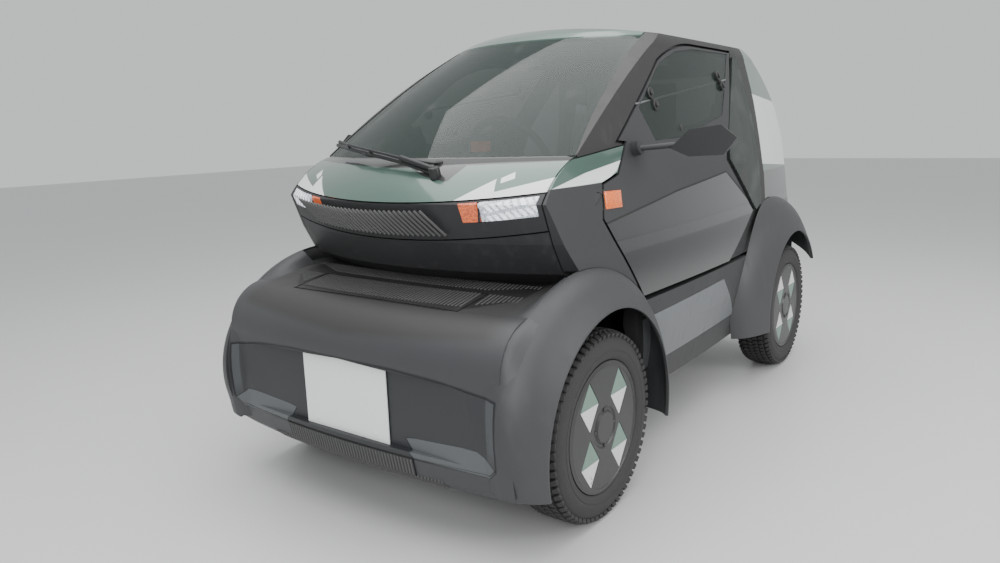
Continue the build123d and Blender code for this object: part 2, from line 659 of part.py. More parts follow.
with BuildPart() as recess_block:
    with BuildSketch(Plane.XZ.offset(-FRONT_END_Y - RECESS_DEPTH)):
        with BuildLine():
            Polyline(*RECESS, close=True)
        make_face()
    extrude(amount=200)
with BuildPart() as recess_tray:
    with BuildSketch(Plane.XZ.offset(-FRONT_END_Y - RECESS_DEPTH - PLASTIC)):
        with BuildLine():
            Polyline(*RECESS, close=True)
        make_face()
        offset(amount=PLASTIC, kind=Kind.INTERSECTION)
    extrude(amount=200)
with BuildPart() as lid_block:
    with Locations((0, (LID_FRONT_Y + LID_HINGE_Y) / 2, 650)):
        Box(2 * LID_HALF, LID_HINGE_Y - LID_FRONT_Y, 300)
front_outer = turned_front(0)
with BuildPart() as front_bumper:
    add(front_outer)
    add(turned_front(PLASTIC), mode=Mode.SUBTRACT)
    with BuildPart(mode=Mode.PRIVATE) as tray:
        add(recess_tray.part)
        add(front_outer, mode=Mode.INTERSECT)
    add(tray.part)
    add(recess_block.part, mode=Mode.SUBTRACT)
    lid_hole_y = (LID_FRONT_Y - LID_GAP, LID_HINGE_Y + LID_REAR_GAP)
    add(box_between((-LID_HALF - LID_GAP, LID_HALF + LID_GAP), lid_hole_y, (500, 800)), mode=Mode.SUBTRACT)
    add(both_sides(lid_pin(LID_PIN_R, LID_HALF - LID_PIN_LENGTH, LID_HALF + 3 * LID_GAP)))
    Box(REACH, REACH, 2 * 160, mode=Mode.SUBTRACT)
    with Locations((0, -760, 500)):
        Box(REACH, 500, 1000, align=(Align.CENTER, Align.MIN, Align.CENTER), mode=Mode.SUBTRACT)
    with Locations((BUMPER_HALF, -1000, 500), (-BUMPER_HALF - 500, -1000, 500)):
        Box(500, 1000, 1500, align=(Align.MIN, Align.CENTER, Align.CENTER), mode=Mode.SUBTRACT)
    add(forms[0], mode=Mode.SUBTRACT)
    add(both_sides(wheel_cylinder(FRONT_AXLE_Y, LIP_R, 300, WIDTH / 2)), mode=Mode.SUBTRACT)
save(front_bumper.part, "front_bumper")

# Ribbed lid in the bonnet, hinged along its rear edge
with BuildPart() as front_lid:
    add(lid_block.part)
    add(front_outer, mode=Mode.INTERSECT)
    add(turned_front(LID_THICK), mode=Mode.SUBTRACT)
    with BuildSketch(Plane.XY.offset(600)):
        with Locations((0, LID_FRONT_Y + 24)):
            SlotOverall(320, 18)
    extrude(amount=100, mode=Mode.SUBTRACT)
    lid_bore = lid_pin(LID_PIN_R + LID_PIN_GAP, LID_HALF - LID_PIN_LENGTH - 2, LID_HALF + LID_GAP)
    add(both_sides(lid_bore), mode=Mode.SUBTRACT)
save(front_lid.part, "front_lid")

# Rear bumper between the rear fenders
REAR_RECESS_DEPTH = 5
with BuildPart() as rear_bumper:
    with BuildSketch(Plane.YZ.offset(-FENDER_INNER_X)):
        with BuildLine():
            Polyline(
                (1100, 300), (1180, 310), (REAR_END_Y, 380), (REAR_END_Y, 560), (1196, 636), (1100, 636),
                close=True,
            )
        make_face()
    extrude(amount=2 * FENDER_INNER_X)
    with BuildSketch(Plane.YZ.offset(-REACH / 2)):
        with BuildLine():
            Polyline(
                (1000, 200), (1100, 320), (1176, 320), (REAR_END_Y - 10, 384), (REAR_END_Y - 10, 556),
                (1188, 620), (1000, 620), close=True,
            )
        make_face()
    extrude(amount=REACH, mode=Mode.SUBTRACT)
    with Locations((0, REAR_END_Y, 470)):
        Box(540, 2 * REAR_RECESS_DEPTH, 130, mode=Mode.SUBTRACT)
    add(both_sides(wheel_cylinder(REAR_AXLE_Y, TYRE_R + 20, 455, WIDTH)), mode=Mode.SUBTRACT)
save(rear_bumper.part, "rear_bumper")

# Cabin tub: floor, front bulkhead, rear step and the two moulded seat bases
REAR_STEP_Z = 600
TUB_LINE = [
    (-760, 634), (-610, 610), (-520, 420), (-450, FLOOR_Z), (500, FLOOR_Z), (590, 520), (640, REAR_STEP_Z),
    (1099.7, REAR_STEP_Z),
]
with BuildPart() as floor_tub:
    with BuildSketch(Plane.YZ.offset(-TUB_HALF)):
        with BuildLine():
            bottom_line = Polyline(*TUB_LINE)
            offset(bottom_line, amount=FLOOR_THICK, side=Side.LEFT)
        make_face()
    extrude(amount=2 * TUB_HALF)
    with Locations((290, -450, 500), (-290 - 400, -450, 500)):
        Box(400, 600, 800, align=(Align.MIN, Align.MAX, Align.CENTER), mode=Mode.SUBTRACT)
    with Locations((440, 500, 500), (-440 - 400, 500, 500)):
        Box(400, 900, 800, align=(Align.MIN, Align.MIN, Align.CENTER), mode=Mode.SUBTRACT)
save(floor_tub.part, "floor_tub")

# Chassis: two rails with cross members, front beam and uprights
RAIL_TOP = FLOOR_Z - SEAT_GAP
RAIL_FRONT_Y = -1090
RAIL_REAR_Y = 700
with BuildPart() as chassis_frame:
    with Locations((RAIL_X, (RAIL_FRONT_Y + RAIL_REAR_Y) / 2, RAIL_TOP), (-RAIL_X, (RAIL_FRONT_Y + RAIL_REAR_Y) / 2, RAIL_TOP)):
        Box(RAIL_SIZE, RAIL_REAR_Y - RAIL_FRONT_Y, 60, align=(Align.CENTER, Align.CENTER, Align.MAX))
    with Locations((0, -1065, RAIL_TOP), (0, -430, RAIL_TOP), (0, 430, RAIL_TOP), (0, RAIL_REAR_Y - 25, RAIL_TOP)):
        Box(2 * RAIL_X, 50, 60, align=(Align.CENTER, Align.CENTER, Align.MAX))
    with Locations((RAIL_X, -1105, 202), (-RAIL_X, -1105, 202)):
        Box(RAIL_SIZE, 50, 300, align=(Align.CENTER, Align.CENTER, Align.MIN))
    with Locations((0, -1150, 420)):
        Box(820, 40, 90)
save(chassis_frame.part, "chassis_frame")

with BuildPart() as battery_pack:
    with Locations((0, 0, RAIL_TOP)):
        Box(2 * RAIL_X - RAIL_SIZE - 10, 760, 100, align=(Align.CENTER, Align.CENTER, Align.MAX))
save(battery_pack.part, "battery_pack")

# Rear axle with the drive motor, carriers and stub axles
AXLE_TUBE_R = 32
with BuildPart() as rear_axle:
    with Locations((0, REAR_AXLE_Y, TYRE_R + 20)):
        Box(2 * RAIL_X - RAIL_SIZE + 10, 280, 240)
    with BuildSketch(Plane.YZ.offset(-455)):
        with Locations((REAR_AXLE_Y, TYRE_R)):
            Circle(AXLE_TUBE_R)
    extrude(amount=910)
    with BuildSketch(Plane.YZ.offset(-WHEEL_X - 15)):
        with Locations((REAR_AXLE_Y, TYRE_R)):
            Circle(SPINDLE_R)
    extrude(amount=2 * WHEEL_X + 30)
    with Locations((RAIL_X, RAIL_REAR_Y + SEAT_GAP, RAIL_TOP), (-RAIL_X, RAIL_REAR_Y + SEAT_GAP, RAIL_TOP)):
        Box(RAIL_SIZE, REAR_AXLE_Y - RAIL_REAR_Y, 60, align=(Align.CENTER, Align.MIN, Align.MAX))
save(rear_axle.part, "rear_axle")

# Front suspension: a lower arm and an upright strut each side, with the kingpin's two ends
ARM_Z = 132
ARM_THICK = 22
KNUCKLE_LOW = 165
KNUCKLE_HIGH = 415
STRUT_TOP = 615
PIN_R = 10
PIN_LENGTH = 26
PIN_GAP = 0.05
FACE_GAP = 1
with BuildPart() as suspension_left:
    with BuildSketch(Plane.XY.offset(ARM_Z)):
        with BuildLine():
            Polyline((232, FRONT_AXLE_Y - 90), (232, FRONT_AXLE_Y + 90), (452, FRONT_AXLE_Y + 20), (452, FRONT_AXLE_Y - 20), close=True)
        make_face()
    extrude(amount=ARM_THICK)
    with BuildSketch(Plane.XY.offset(ARM_Z)):
        with Locations((KINGPIN_X, FRONT_AXLE_Y)):
            Circle(PIN_R)
    extrude(amount=KNUCKLE_LOW - ARM_Z + PIN_LENGTH)
    with Locations((256, FRONT_AXLE_Y, ARM_Z)):
        Box(48, 180, RAIL_TOP - 60 - ARM_Z, align=(Align.CENTER, Align.CENTER, Align.MIN))
    with BuildSketch(Plane.XY.offset(KNUCKLE_HIGH + FACE_GAP)):
        with Locations((KINGPIN_X, FRONT_AXLE_Y)):
            Circle(20)
    extrude(amount=STRUT_TOP - KNUCKLE_HIGH - FACE_GAP)
    with BuildSketch(Plane.XY.offset(KNUCKLE_HIGH - PIN_LENGTH)):
        with Locations((KINGPIN_X, FRONT_AXLE_Y)):
            Circle(PIN_R)
    extrude(amount=60)
    with Locations((240, FRONT_AXLE_Y, STRUT_TOP - 10)):
        Box(225, 90, 20, align=(Align.MIN, Align.CENTER, Align.MIN))
save(both_sides(suspension_left.part), "front_suspension")

with BuildPart() as knuckle_left:
    with Locations((KINGPIN_X, FRONT_AXLE_Y, KNUCKLE_LOW)):
        Box(36, 64, KNUCKLE_HIGH - KNUCKLE_LOW, align=(Align.CENTER, Align.CENTER, Align.MIN))
    with BuildSketch(Plane.XY.offset(KNUCKLE_LOW)):
        with Locations((KINGPIN_X, FRONT_AXLE_Y)):
            Circle(PIN_R + PIN_GAP)
    extrude(amount=PIN_LENGTH + 4, mode=Mode.SUBTRACT)
    with BuildSketch(Plane.XY.offset(KNUCKLE_HIGH)):
        with Locations((KINGPIN_X, FRONT_AXLE_Y)):
            Circle(PIN_R + PIN_GAP)
    extrude(amount=-PIN_LENGTH - 4, mode=Mode.SUBTRACT)
    with BuildSketch(Plane.YZ.offset(KINGPIN_X)):
        with Locations((FRONT_AXLE_Y, TYRE_R)):
            Circle(SPINDLE_R)
    extrude(amount=WHEEL_X + 15 - KINGPIN_X)
save(knuckle_left.part, "knuckle_left")
save(knuckle_left.part.mirror(Plane.YZ), "knuckle_right")


def turned_on_axle(section, axle_y):
    """Solid of revolution about a left wheel's axle, from points of offset from the wheel's plane and radius."""
    with BuildPart() as solid:
        with BuildSketch(Plane(origin=(WHEEL_X, axle_y, TYRE_R), x_dir=(1, 0, 0), z_dir=(0, -1, 0))):
            add(section)
        revolve(axis=Axis((WHEEL_X, axle_y, TYRE_R), (1, 0, 0)), revolution_arc=360)
    return solid.part


FLANGE_X = 60
FLANGE_R = 186
half = TYRE_WIDTH / 2
bead = FLANGE_X - 2 * SEAT_GAP
with BuildSketch(Plane.XY) as tyre_section:
    with BuildLine():
        Polyline((-bead, RIM_R), (bead, RIM_R), (bead + 2, COVER_R + 1), (half - 8, COVER_R + 2))
        ThreePointArc((half - 8, COVER_R + 2), (half, 228), (half - 10, TYRE_R - 9))
        ThreePointArc((half - 10, TYRE_R - 9), (0, TYRE_R), (-half + 10, TYRE_R - 9))
        ThreePointArc((-half + 10, TYRE_R - 9), (-half, 228), (-half + 8, COVER_R + 2))
        Polyline((-half + 8, COVER_R + 2), (-bead, FLANGE_R + 2), (-bead, RIM_R))
    make_face()

WHEEL_SECTION = [
    (-FLANGE_X - 4, 170), (-FLANGE_X - 4, FLANGE_R), (-FLANGE_X, FLANGE_R), (-FLANGE_X, RIM_R - SEAT_GAP),
    (FLANGE_X, RIM_R - SEAT_GAP), (FLANGE_X + 3, COVER_R), (67, COVER_R - 1), (COVER_FACE, 178), (68, 175), (68, 62), (64, 57), (64, 50), (COVER_FACE, 44), (COVER_FACE, 0),
    (20, 0), (20, SPINDLE_R + SPINDLE_GAP), (-68, SPINDLE_R + SPINDLE_GAP), (-68, 34), (48, 34), (56, 60), (58, 150),
    (52, 170),
]
DIAMOND_CENTRE_R = 118
DIAMOND_HALF_LONG = 74
DIAMOND_HALF_SHORT = 50
DIAMOND_DEPTH = 2.5
with BuildSketch(Plane.XY) as wheel_section:
    with BuildLine():
        Polyline(*WHEEL_SECTION, close=True)
    make_face()

for place, axle_y in (("front", FRONT_AXLE_Y), ("rear", REAR_AXLE_Y)):
    tyre = turned_on_axle(tyre_section.sketch, axle_y)
    with BuildPart() as wheel:
        add(turned_on_axle(wheel_section.sketch, axle_y))
        with BuildSketch(Plane.YZ.offset(WHEEL_X + 68 - DIAMOND_DEPTH)):
            with Locations((axle_y, TYRE_R)):
                with PolarLocations(DIAMOND_CENTRE_R, 4, start_angle=45, rotate=False):
                    Polygon(
                        (0, DIAMOND_HALF_LONG), (-DIAMOND_HALF_SHORT, 0), (0, -DIAMOND_HALF_LONG),
                        (DIAMOND_HALF_SHORT, 0),
                    )
            with Locations((axle_y, TYRE_R)):
                Circle(174, mode=Mode.INTERSECT)
        extrude(amount=20, mode=Mode.SUBTRACT)
    for side in ("left", "right"):
        name = place + "_" + side
        save(tyre if side == "left" else tyre.mirror(Plane.YZ), "tyre_" + name)
        save(wheel.part if side == "left" else wheel.part.mirror(Plane.YZ), "wheel_" + name)

# Dashboard with the steering column
WHEEL_CENTRE = (0, -360, 1000)
COLUMN_TILT = 25
COLUMN_R = 28
SHAFT_R = 9
SHAFT_GAP = 0.05
HUB_LENGTH = 40
RIM_CENTRE_R = 165
RIM_THICK_R = 13
column_axis = (0, cos(radians(COLUMN_TILT)), sin(radians(COLUMN_TILT)))
column_plane = Plane(origin=WHEEL_CENTRE, x_dir=(1, 0, 0), z_dir=column_axis)
DASH_HALF = HINGE_BOX_X - SEAT_GAP
with BuildPart() as dashboard:
    with BuildSketch(Plane.YZ.offset(-DASH_HALF)):
        with BuildLine():
            Polyline((-900, 800), (-900, 1010), (-700, 1010), (-520, 985), (-470, 930), (-520, 820), close=True)
        make_face()
    extrude(amount=2 * DASH_HALF)
    add(forms[SKIN + FRAME], mode=Mode.INTERSECT)
    with BuildSketch(column_plane.offset(-180)):
        Circle(COLUMN_R)
    extrude(amount=180 - HUB_LENGTH)
    with BuildSketch(column_plane.offset(-180)):
        Circle(SHAFT_R)
    extrude(amount=175)
save(dashboard.part, "dashboard")

with BuildPart() as steering_wheel:
    with BuildSketch(Plane(origin=WHEEL_CENTRE, x_dir=column_axis, z_dir=(-1, 0, 0))) as rim_section:
        with Locations((0, RIM_CENTRE_R)):
            Circle(RIM_THICK_R)
    revolve(axis=Axis(WHEEL_CENTRE, column_axis), revolution_arc=360)
    with BuildSketch(column_plane.offset(-HUB_LENGTH + 6)):
        Circle(30)
    extrude(amount=HUB_LENGTH)
    with BuildSketch(column_plane.offset(-12)):
        with PolarLocations(RIM_CENTRE_R / 2, 3, start_angle=-90):
            Rectangle(RIM_CENTRE_R - 8, 34)
    extrude(amount=12)
    with BuildSketch(column_plane.offset(-HUB_LENGTH)):
        Circle(SHAFT_R + SHAFT_GAP)
    extrude(amount=HUB_LENGTH - 3, mode=Mode.SUBTRACT)
save(steering_wheel.part, "steering_wheel")

# Seats in tandem: soft pads on the seat bases
SEAT_HALF = 215
PAD_CORNER_R = 22


def pad(outline, half, gap=0):
    """Soft pad with a rounded side outline, centred across the car, or the hollow that it lies in."""
    with BuildPart() as block:
        with BuildSketch(Plane.YZ.offset(-half)) as side_view:
            with BuildLine():
                Polyline(*outline, close=True)
            make_face()
            fillet(side_view.vertices(), PAD_CORNER_R)
            if gap:
                offset(amount=gap)
        extrude(amount=2 * half)
    return block.part


driver_cushion = [(-60, 470), (-60, 560), (330, 540), (360, 460)]
driver_back = [(330, 560), (440, 560), (545, 1120), (455, 1130)]
driver_head = [(470, 1150), (540, 1150), (548, 1285), (480, 1285)]
rear_seat_z = REAR_STEP_Z + FLOOR_THICK + SEAT_GAP
rear_cushion = [(640, rear_seat_z), (640, 700), (960, 690), (980, rear_seat_z)]
rear_back = [(960, 712), (1050, 712), (1120, 1090), (1040, 1100)]
HEAD_HALF = 120
with BuildPart() as driver_pads:
    add(pad(driver_cushion, SEAT_HALF))
    add(pad(driver_back, SEAT_HALF))
    add(pad(driver_head, HEAD_HALF))
save(driver_pads.part, "driver_seat")
with BuildPart() as rear_pads:
    add(pad(rear_cushion, SEAT_HALF))
    add(pad(rear_back, SEAT_HALF))
save(rear_pads.part, "rear_seat")

# Seat shells: a moulding behind and under each seat, hollowed for the pads
SHELL_FLOOR_Z = FLOOR_Z + FLOOR_THICK + SEAT_GAP
with BuildPart() as seat_shells:
    with BuildSketch(Plane.YZ.offset(-SEAT_HALF)):
        with BuildLine():
            Polyline(
                (-20, SHELL_FLOOR_Z), (-40, 480), (345, 476), (372, 552), (430, 620), (526, 1120), (530, 1286),
                (572, 1286), (570, 1120), (470, 540), (430, SHELL_FLOOR_Z), close=True,
            )
        make_face()
    extrude(amount=2 * SEAT_HALF)
    with BuildSketch(Plane.YZ.offset(-SEAT_HALF)):
        with BuildLine():
            Polyline(
                (975, rear_seat_z), (1010, 720), (1046, 720), (1100, 1100), (1142, 1105), (1080, rear_seat_z),
                close=True,
            )
        make_face()
    extrude(amount=2 * SEAT_HALF)
    for outline in (driver_cushion, driver_back, driver_head, rear_cushion, rear_back):
        add(pad(outline, SEAT_HALF + 1, SEAT_GAP), mode=Mode.SUBTRACT)
save(seat_shells.part, "seat_shell")

# Mirrors on the doors: a foot, a stalk and a faceted head
MIRROR_FOOT = (508, -425, 1040)
MIRROR_NECK = (640, -385, 1055)
with BuildPart() as mirror_left:
    add(rod(MIRROR_FOOT, (545, -425, 1050), 22))
    add(rod((535, -425, 1047), MIRROR_NECK, 9))
    with BuildSketch(Plane.XZ.offset(400)):
        with BuildLine():
            Polyline((630, 1045), (690, 1100), (790, 1112), (838, 1075), (800, 1025), (690, 1020), close=True)
        make_face()
    extrude(amount=-60, taper=12)
    add(forms[0], mode=Mode.SUBTRACT)
save(mirror_left.part, "mirror_left")
save(mirror_left.part.mirror(Plane.YZ), "mirror_right")

# Wiper: a pivot in the brow and an arm with its blade at the foot of the windscreen
with BuildPart() as wiper:
    add(rod((130, -880, 960), (130, -895, 1030), 14))
    add(rod((130, -893, 1022), (-150, -905, 1052), 6))
    add(rod((-150, -905, 1052), (-390, -800, 1090), 6))
    add(forms[0], mode=Mode.SUBTRACT)
save(wiper.part, "wiper")
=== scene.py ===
from math import atan2, cos, degrees, pi, radians, sin, sqrt

import bpy
from mathutils import Matrix, Vector


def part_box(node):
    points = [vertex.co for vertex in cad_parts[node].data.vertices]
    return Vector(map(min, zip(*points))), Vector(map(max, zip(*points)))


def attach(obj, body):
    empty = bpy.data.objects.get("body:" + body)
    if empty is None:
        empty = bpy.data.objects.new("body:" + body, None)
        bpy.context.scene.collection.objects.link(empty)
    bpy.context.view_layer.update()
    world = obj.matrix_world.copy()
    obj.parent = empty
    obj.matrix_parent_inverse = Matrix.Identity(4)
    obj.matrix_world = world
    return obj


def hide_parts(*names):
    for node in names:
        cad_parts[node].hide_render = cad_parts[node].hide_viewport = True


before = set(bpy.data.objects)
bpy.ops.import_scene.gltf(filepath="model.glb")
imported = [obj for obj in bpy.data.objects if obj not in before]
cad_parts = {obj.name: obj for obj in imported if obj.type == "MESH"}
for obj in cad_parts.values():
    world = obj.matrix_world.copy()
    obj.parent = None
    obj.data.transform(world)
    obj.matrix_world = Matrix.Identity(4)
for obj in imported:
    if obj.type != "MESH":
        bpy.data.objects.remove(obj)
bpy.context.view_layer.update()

# Camera, from the view's fitted place and turn
PICTURE = (1000, 563)
CAMERA_AT = (1.6204, -2.5734, 1.1231)
CAMERA_YAW = 0.6201
CAMERA_PITCH = 0.18895
CAMERA_ROLL = -0.02983
CAMERA_FOCUS = 762.0
CAMERA_CENTRE = (523.29, 272.29)
SENSOR_WIDTH = 36

# Places shared by several pieces, metres: upright axes of the nose and bumper forms, and the wheels
FORM_AXIS_Y = 0.300
BUMPER_AXIS_Y = 2.785
TYRE_R = 0.2785
WHEEL_X = 0.545
FRONT_AXLE_Y = -0.785
REAR_AXLE_Y = 0.915


def set_camera():
    """Camera at the picture's place and angle, with its off-centre frame."""
    flat = cos(CAMERA_PITCH)
    ahead = Vector((-sin(CAMERA_YAW) * flat, cos(CAMERA_YAW) * flat, -sin(CAMERA_PITCH)))
    level_right = ahead.cross(Vector((0, 0, 1))).normalized()
    level_up = level_right.cross(ahead)
    right = cos(CAMERA_ROLL) * level_right + sin(CAMERA_ROLL) * level_up
    up = -sin(CAMERA_ROLL) * level_right + cos(CAMERA_ROLL) * level_up
    data = bpy.data.cameras.new("view_camera")
    camera = bpy.data.objects.new("view_camera", data)
    bpy.context.scene.collection.objects.link(camera)
    turn = Matrix((right, up, -ahead)).transposed().to_4x4()
    camera.matrix_world = Matrix.Translation(CAMERA_AT) @ turn
    data.sensor_width = SENSOR_WIDTH
    data.lens = CAMERA_FOCUS / PICTURE[0] * SENSOR_WIDTH
    data.shift_x = (PICTURE[0] / 2 - CAMERA_CENTRE[0]) / PICTURE[0]
    data.shift_y = (CAMERA_CENTRE[1] - PICTURE[1] / 2) / PICTURE[0]
    data.clip_start = 0.05
    bpy.context.scene.camera = camera


set_camera()


# Finishes: numbers that vary over a surface, and the nodes that make them

class Level:
    """A number that varies over a surface. Python's operators add the Math nodes."""

    def __init__(self, finish, socket):
        self.finish = finish
        self.socket = socket

    def maths(self, operation, *others):
        """A Math node with this number as its first value."""
        return self.finish.maths(operation, self, *others)

    def __add__(self, other):
        return self.maths("ADD", other)

    __radd__ = __add__

    def __mul__(self, other):
        return self.maths("MULTIPLY", other)

    __rmul__ = __mul__

    def __sub__(self, other):
        return self.maths("SUBTRACT", other)

    def __rsub__(self, other):
        return self.finish.maths("SUBTRACT", other, self)

    def __truediv__(self, other):
        return self.maths("DIVIDE", other)

    def __abs__(self):
        return self.maths("ABSOLUTE")

    def above(self, edge, softness=0.0008):
        """One where the number is over an edge, with a soft step."""
        return ((self - edge) / softness + 0.5).clipped()

    def below(self, edge, softness=0.0008):
        """One where the number is under an edge."""
        return 1 - self.above(edge, softness)

    def clipped(self):
        """The number held between nothing and one."""
        return self.finish.maths("MINIMUM", self.maths("MAXIMUM", 0.0), 1.0)

    def cycle(self, length):
        """Position within a repeat of a given length, from nothing to one."""
        return (self / length).maths("FRACT")


class Finish:
    """One material, built from wrapped sockets."""

    def __init__(self, name, **fixed):
        self.material = bpy.data.materials.new(name)
        self.material.use_nodes = True
        self.tree = self.material.node_tree
        self.shader = self.tree.nodes["Principled BSDF"]
        for socket, value in fixed.items():
            self.put(self.shader, socket.replace("_", " "), value)
        self.place = self.node("ShaderNodeTexCoord").outputs["Object"]
        split = self.node("ShaderNodeSeparateXYZ", sockets={"Vector": self.place})
        self.x, self.y, self.z = (Level(self, split.outputs[k]) for k in "XYZ")

    def put(self, node, socket, value):
        """Sets or links one input of a node."""
        target = node.inputs[socket]
        if isinstance(value, Level):
            self.tree.links.new(value.socket, target)
        elif isinstance(value, bpy.types.NodeSocket):
            self.tree.links.new(value, target)
        elif isinstance(value, tuple) and len(value) == 3 and target.type == "RGBA":
            target.default_value = (*value, 1)
        else:
            target.default_value = value

    def node(self, kind, settings=None, sockets=None):
        """A node of any type with its settings, and its values or links."""
        made = self.tree.nodes.new(kind)
        for key, value in (settings or {}).items():
            setattr(made, key, value)
        for socket, value in (sockets or {}).items():
            self.put(made, socket, value)
        return made

    def maths(self, operation, *values):
        made = self.node("ShaderNodeMath", {"operation": operation}, dict(enumerate(values)))
        return Level(self, made.outputs[0])

    def blend(self, factor, first, second):
        """Colour that goes from first to second."""
        made = self.node("ShaderNodeMix", {"data_type": "RGBA"})
        self.put(made, 0, factor)
        self.put(made, 6, first)
        self.put(made, 7, second)
        return made.outputs[2]

    def noise(self, scale, detail=3.0, stretch=None):
        """Cloudy noise, stretched where a stretch is given."""
        sockets = {"Vector": self.place, "Scale": scale, "Detail": detail}
        if stretch:
            mapping = self.node("ShaderNodeMapping", sockets={"Vector": self.place, "Scale": stretch})
            sockets["Vector"] = mapping.outputs[0]
        return Level(self, self.node("ShaderNodeTexNoise", sockets=sockets).outputs[0])

    def cells(self, scale):
        """Distance within small cells, for grain, flake and facets."""
        made = self.node("ShaderNodeTexVoronoi", sockets={"Vector": self.place, "Scale": scale})
        return Level(self, made.outputs["Distance"])

    def raise_by(self, height, strength, distance):
        """Bump from a height."""
        sockets = {"Strength": strength, "Distance": distance, "Height": height}
        bump = self.node("ShaderNodeBump", sockets=sockets)
        self.put(self.shader, "Normal", bump.outputs[0])

    def use(self, socket, value):
        """Feeds one input of the shader."""
        self.put(self.shader, socket, value)

    def inside(self, first, second, corners, softness=0.0015):
        """One inside a convex outline, its corners going anticlockwise as (first, second)."""
        mask = None
        for (a, b), (c, d) in zip(corners, corners[1:] + corners[:1]):
            run, rise = c - a, d - b
            length = sqrt(run ** 2 + rise ** 2)
            side = (second - b) * (run / length) - (first - a) * (rise / length)
            step = side.above(0, softness)
            mask = step if mask is None else mask * step
        return mask


def scaled(colour, share):
    """A colour made brighter or darker."""
    return tuple(c * share for c in colour)


def moulded_plastic(name, colour, roughness=0.55, dust=0.25):
    """Unpainted grained plastic with road dust low down and faint scuffs."""
    f = Finish(name)
    mottle = f.noise(7, 4)
    scuffs = f.noise(38, 6, (1, 1, 0.35)).above(0.62, 0.1)
    dusty = (0.55 - f.z).clipped() * 1.6 * mottle * dust
    base = f.blend(mottle * 0.35, colour, scaled(colour, 1.5))
    base = f.blend((scuffs * 0.05 + dusty).clipped(), base, (0.16, 0.155, 0.145))
    f.use("Base Color", base)
    f.use("Roughness", (roughness + (mottle - 0.5) * 0.22 + scuffs * 0.1).clipped())
    grain = f.cells(620) + f.noise(1500, 2) * 0.5
    f.raise_by(grain, 0.22, 0.0006)
    return f


def painted(name, colour, metallic=0.0, roughness=0.32):
    """Flaked paint under a clear coat."""
    f = Finish(name, Metallic=metallic, Coat_Weight=0.9, Coat_Roughness=0.06)
    drift = f.noise(4, 3)
    flake = f.cells(2600)
    base = f.blend((drift * 0.3 + flake * 0.12).clipped(), colour, scaled(colour, 0.78))
    f.use("Base Color", base)
    f.use("Roughness", (roughness + (drift - 0.5) * 0.12).clipped())
    f.raise_by(f.noise(420, 2), 0.03, 0.0003)
    return f


GREEN = (0.080, 0.142, 0.115)
WHITE = (0.74, 0.75, 0.75)
BLACK = (0.0135, 0.0140, 0.0150)

# Outlines of the painted areas: (across, height) on the nose and bumper, (along, height) on the flanks
NOSE_FLASH = [(0.262, 0.925), (0.575, 0.90), (0.530, 1.045), (0.352, 0.948)]
NOSE_WEDGE = [(0.255, 0.925), (0.372, 0.925), (0.372, 0.945), (0.356, 0.985)]
NOSE_CHIP = [(0.374, 0.974), (0.405, 0.986), (0.394, 1.002), (0.367, 0.987)]
SCUTTLE = [
    (0.123, 0.991), (0.181, 0.974), (0.214, 0.980), (0.232, 1.014), (0.232, 1.10), (-0.02, 1.10),
    (-0.02, 1.014),
]
SCUTTLE_Z = 1.0125
RECESS = [
    (-1, 0.262), (0.262, 0.262), (0.505, 0.264), (0.533, 0.290), (0.533, 0.462), (0.36, 0.489),
    (0.20, 0.501), (-1, 0.507),
]
RECESS_RIM = [
    (-1, 0.256), (0.262, 0.256), (0.509, 0.258), (0.539, 0.288), (0.539, 0.467), (0.36, 0.495),
    (0.20, 0.507), (-1, 0.513),
]
RECESS_LEDGE = [
    (0.190, 0.264), (0.262, 0.262), (0.312, 0.198), (0.500, 0.252), (0.531, 0.284), (0.470, 0.322),
    (0.360, 0.330), (0.262, 0.314), (0.190, 0.309),
]
BONNET_PLATE = [(-1, -1.089), (0.30, -1.089), (0.365, -1.040), (0.455, -0.95), (0.455, -0.6), (-1, -0.6)]
TAIL_FLASH = [(0.5, 0.95), (1.3, 0.90), (1.3, 1.19), (0.5, 1.26)]
COWL_PATCH = [(-0.90, 0.958), (-0.64, 0.957), (-0.54, 0.979), (-0.46, 1.10), (-0.90, 1.10)]
COWL_FLASH = [(-0.90, 0.955), (-0.62, 0.959), (-0.55, 0.985), (-0.52, 1.015), (-0.72, 0.99)]
DOOR_GLOSS = [
    (-0.70, 0.55), (0.60, 0.55), (0.60, 0.76), (0.305, 0.926), (-0.165, 0.892), (-0.66, 0.834),
]
DOOR_EDGE = [
    (-0.70, 0.55), (0.62, 0.55), (0.62, 0.765), (0.306, 0.932), (-0.165, 0.898), (-0.66, 0.840),
]

dark_plastic = moulded_plastic("dark_plastic", (0.021, 0.0215, 0.023))
grey_plastic = moulded_plastic("grey_plastic", (0.030, 0.0315, 0.034), 0.5)
# The ribs' plastic is lighter than the black plastic round it, for the light on the raised ribs: painted
# highlight.
lit_rib_plastic = moulded_plastic("lit_rib_plastic", (0.058, 0.058, 0.058), 0.5, 0.1)
hoop_plastic = moulded_plastic("hoop_plastic", (0.0125, 0.012, 0.0118), 0.46, 0.1)
lid_plastic = moulded_plastic("lid_plastic", (0.010, 0.0098, 0.0095), 0.6, 0.1)
frame_paint = moulded_plastic("black_frame_paint", (0.010, 0.010, 0.011), 0.4, 0.1)
cabin_plastic = moulded_plastic("cabin_plastic", (0.030, 0.031, 0.033), 0.7, 0)
pale_panel = moulded_plastic("pale_sill_panel", (0.105, 0.112, 0.118), 0.38, 0.35)
green_paint = painted("green_paint", GREEN, 0.35)


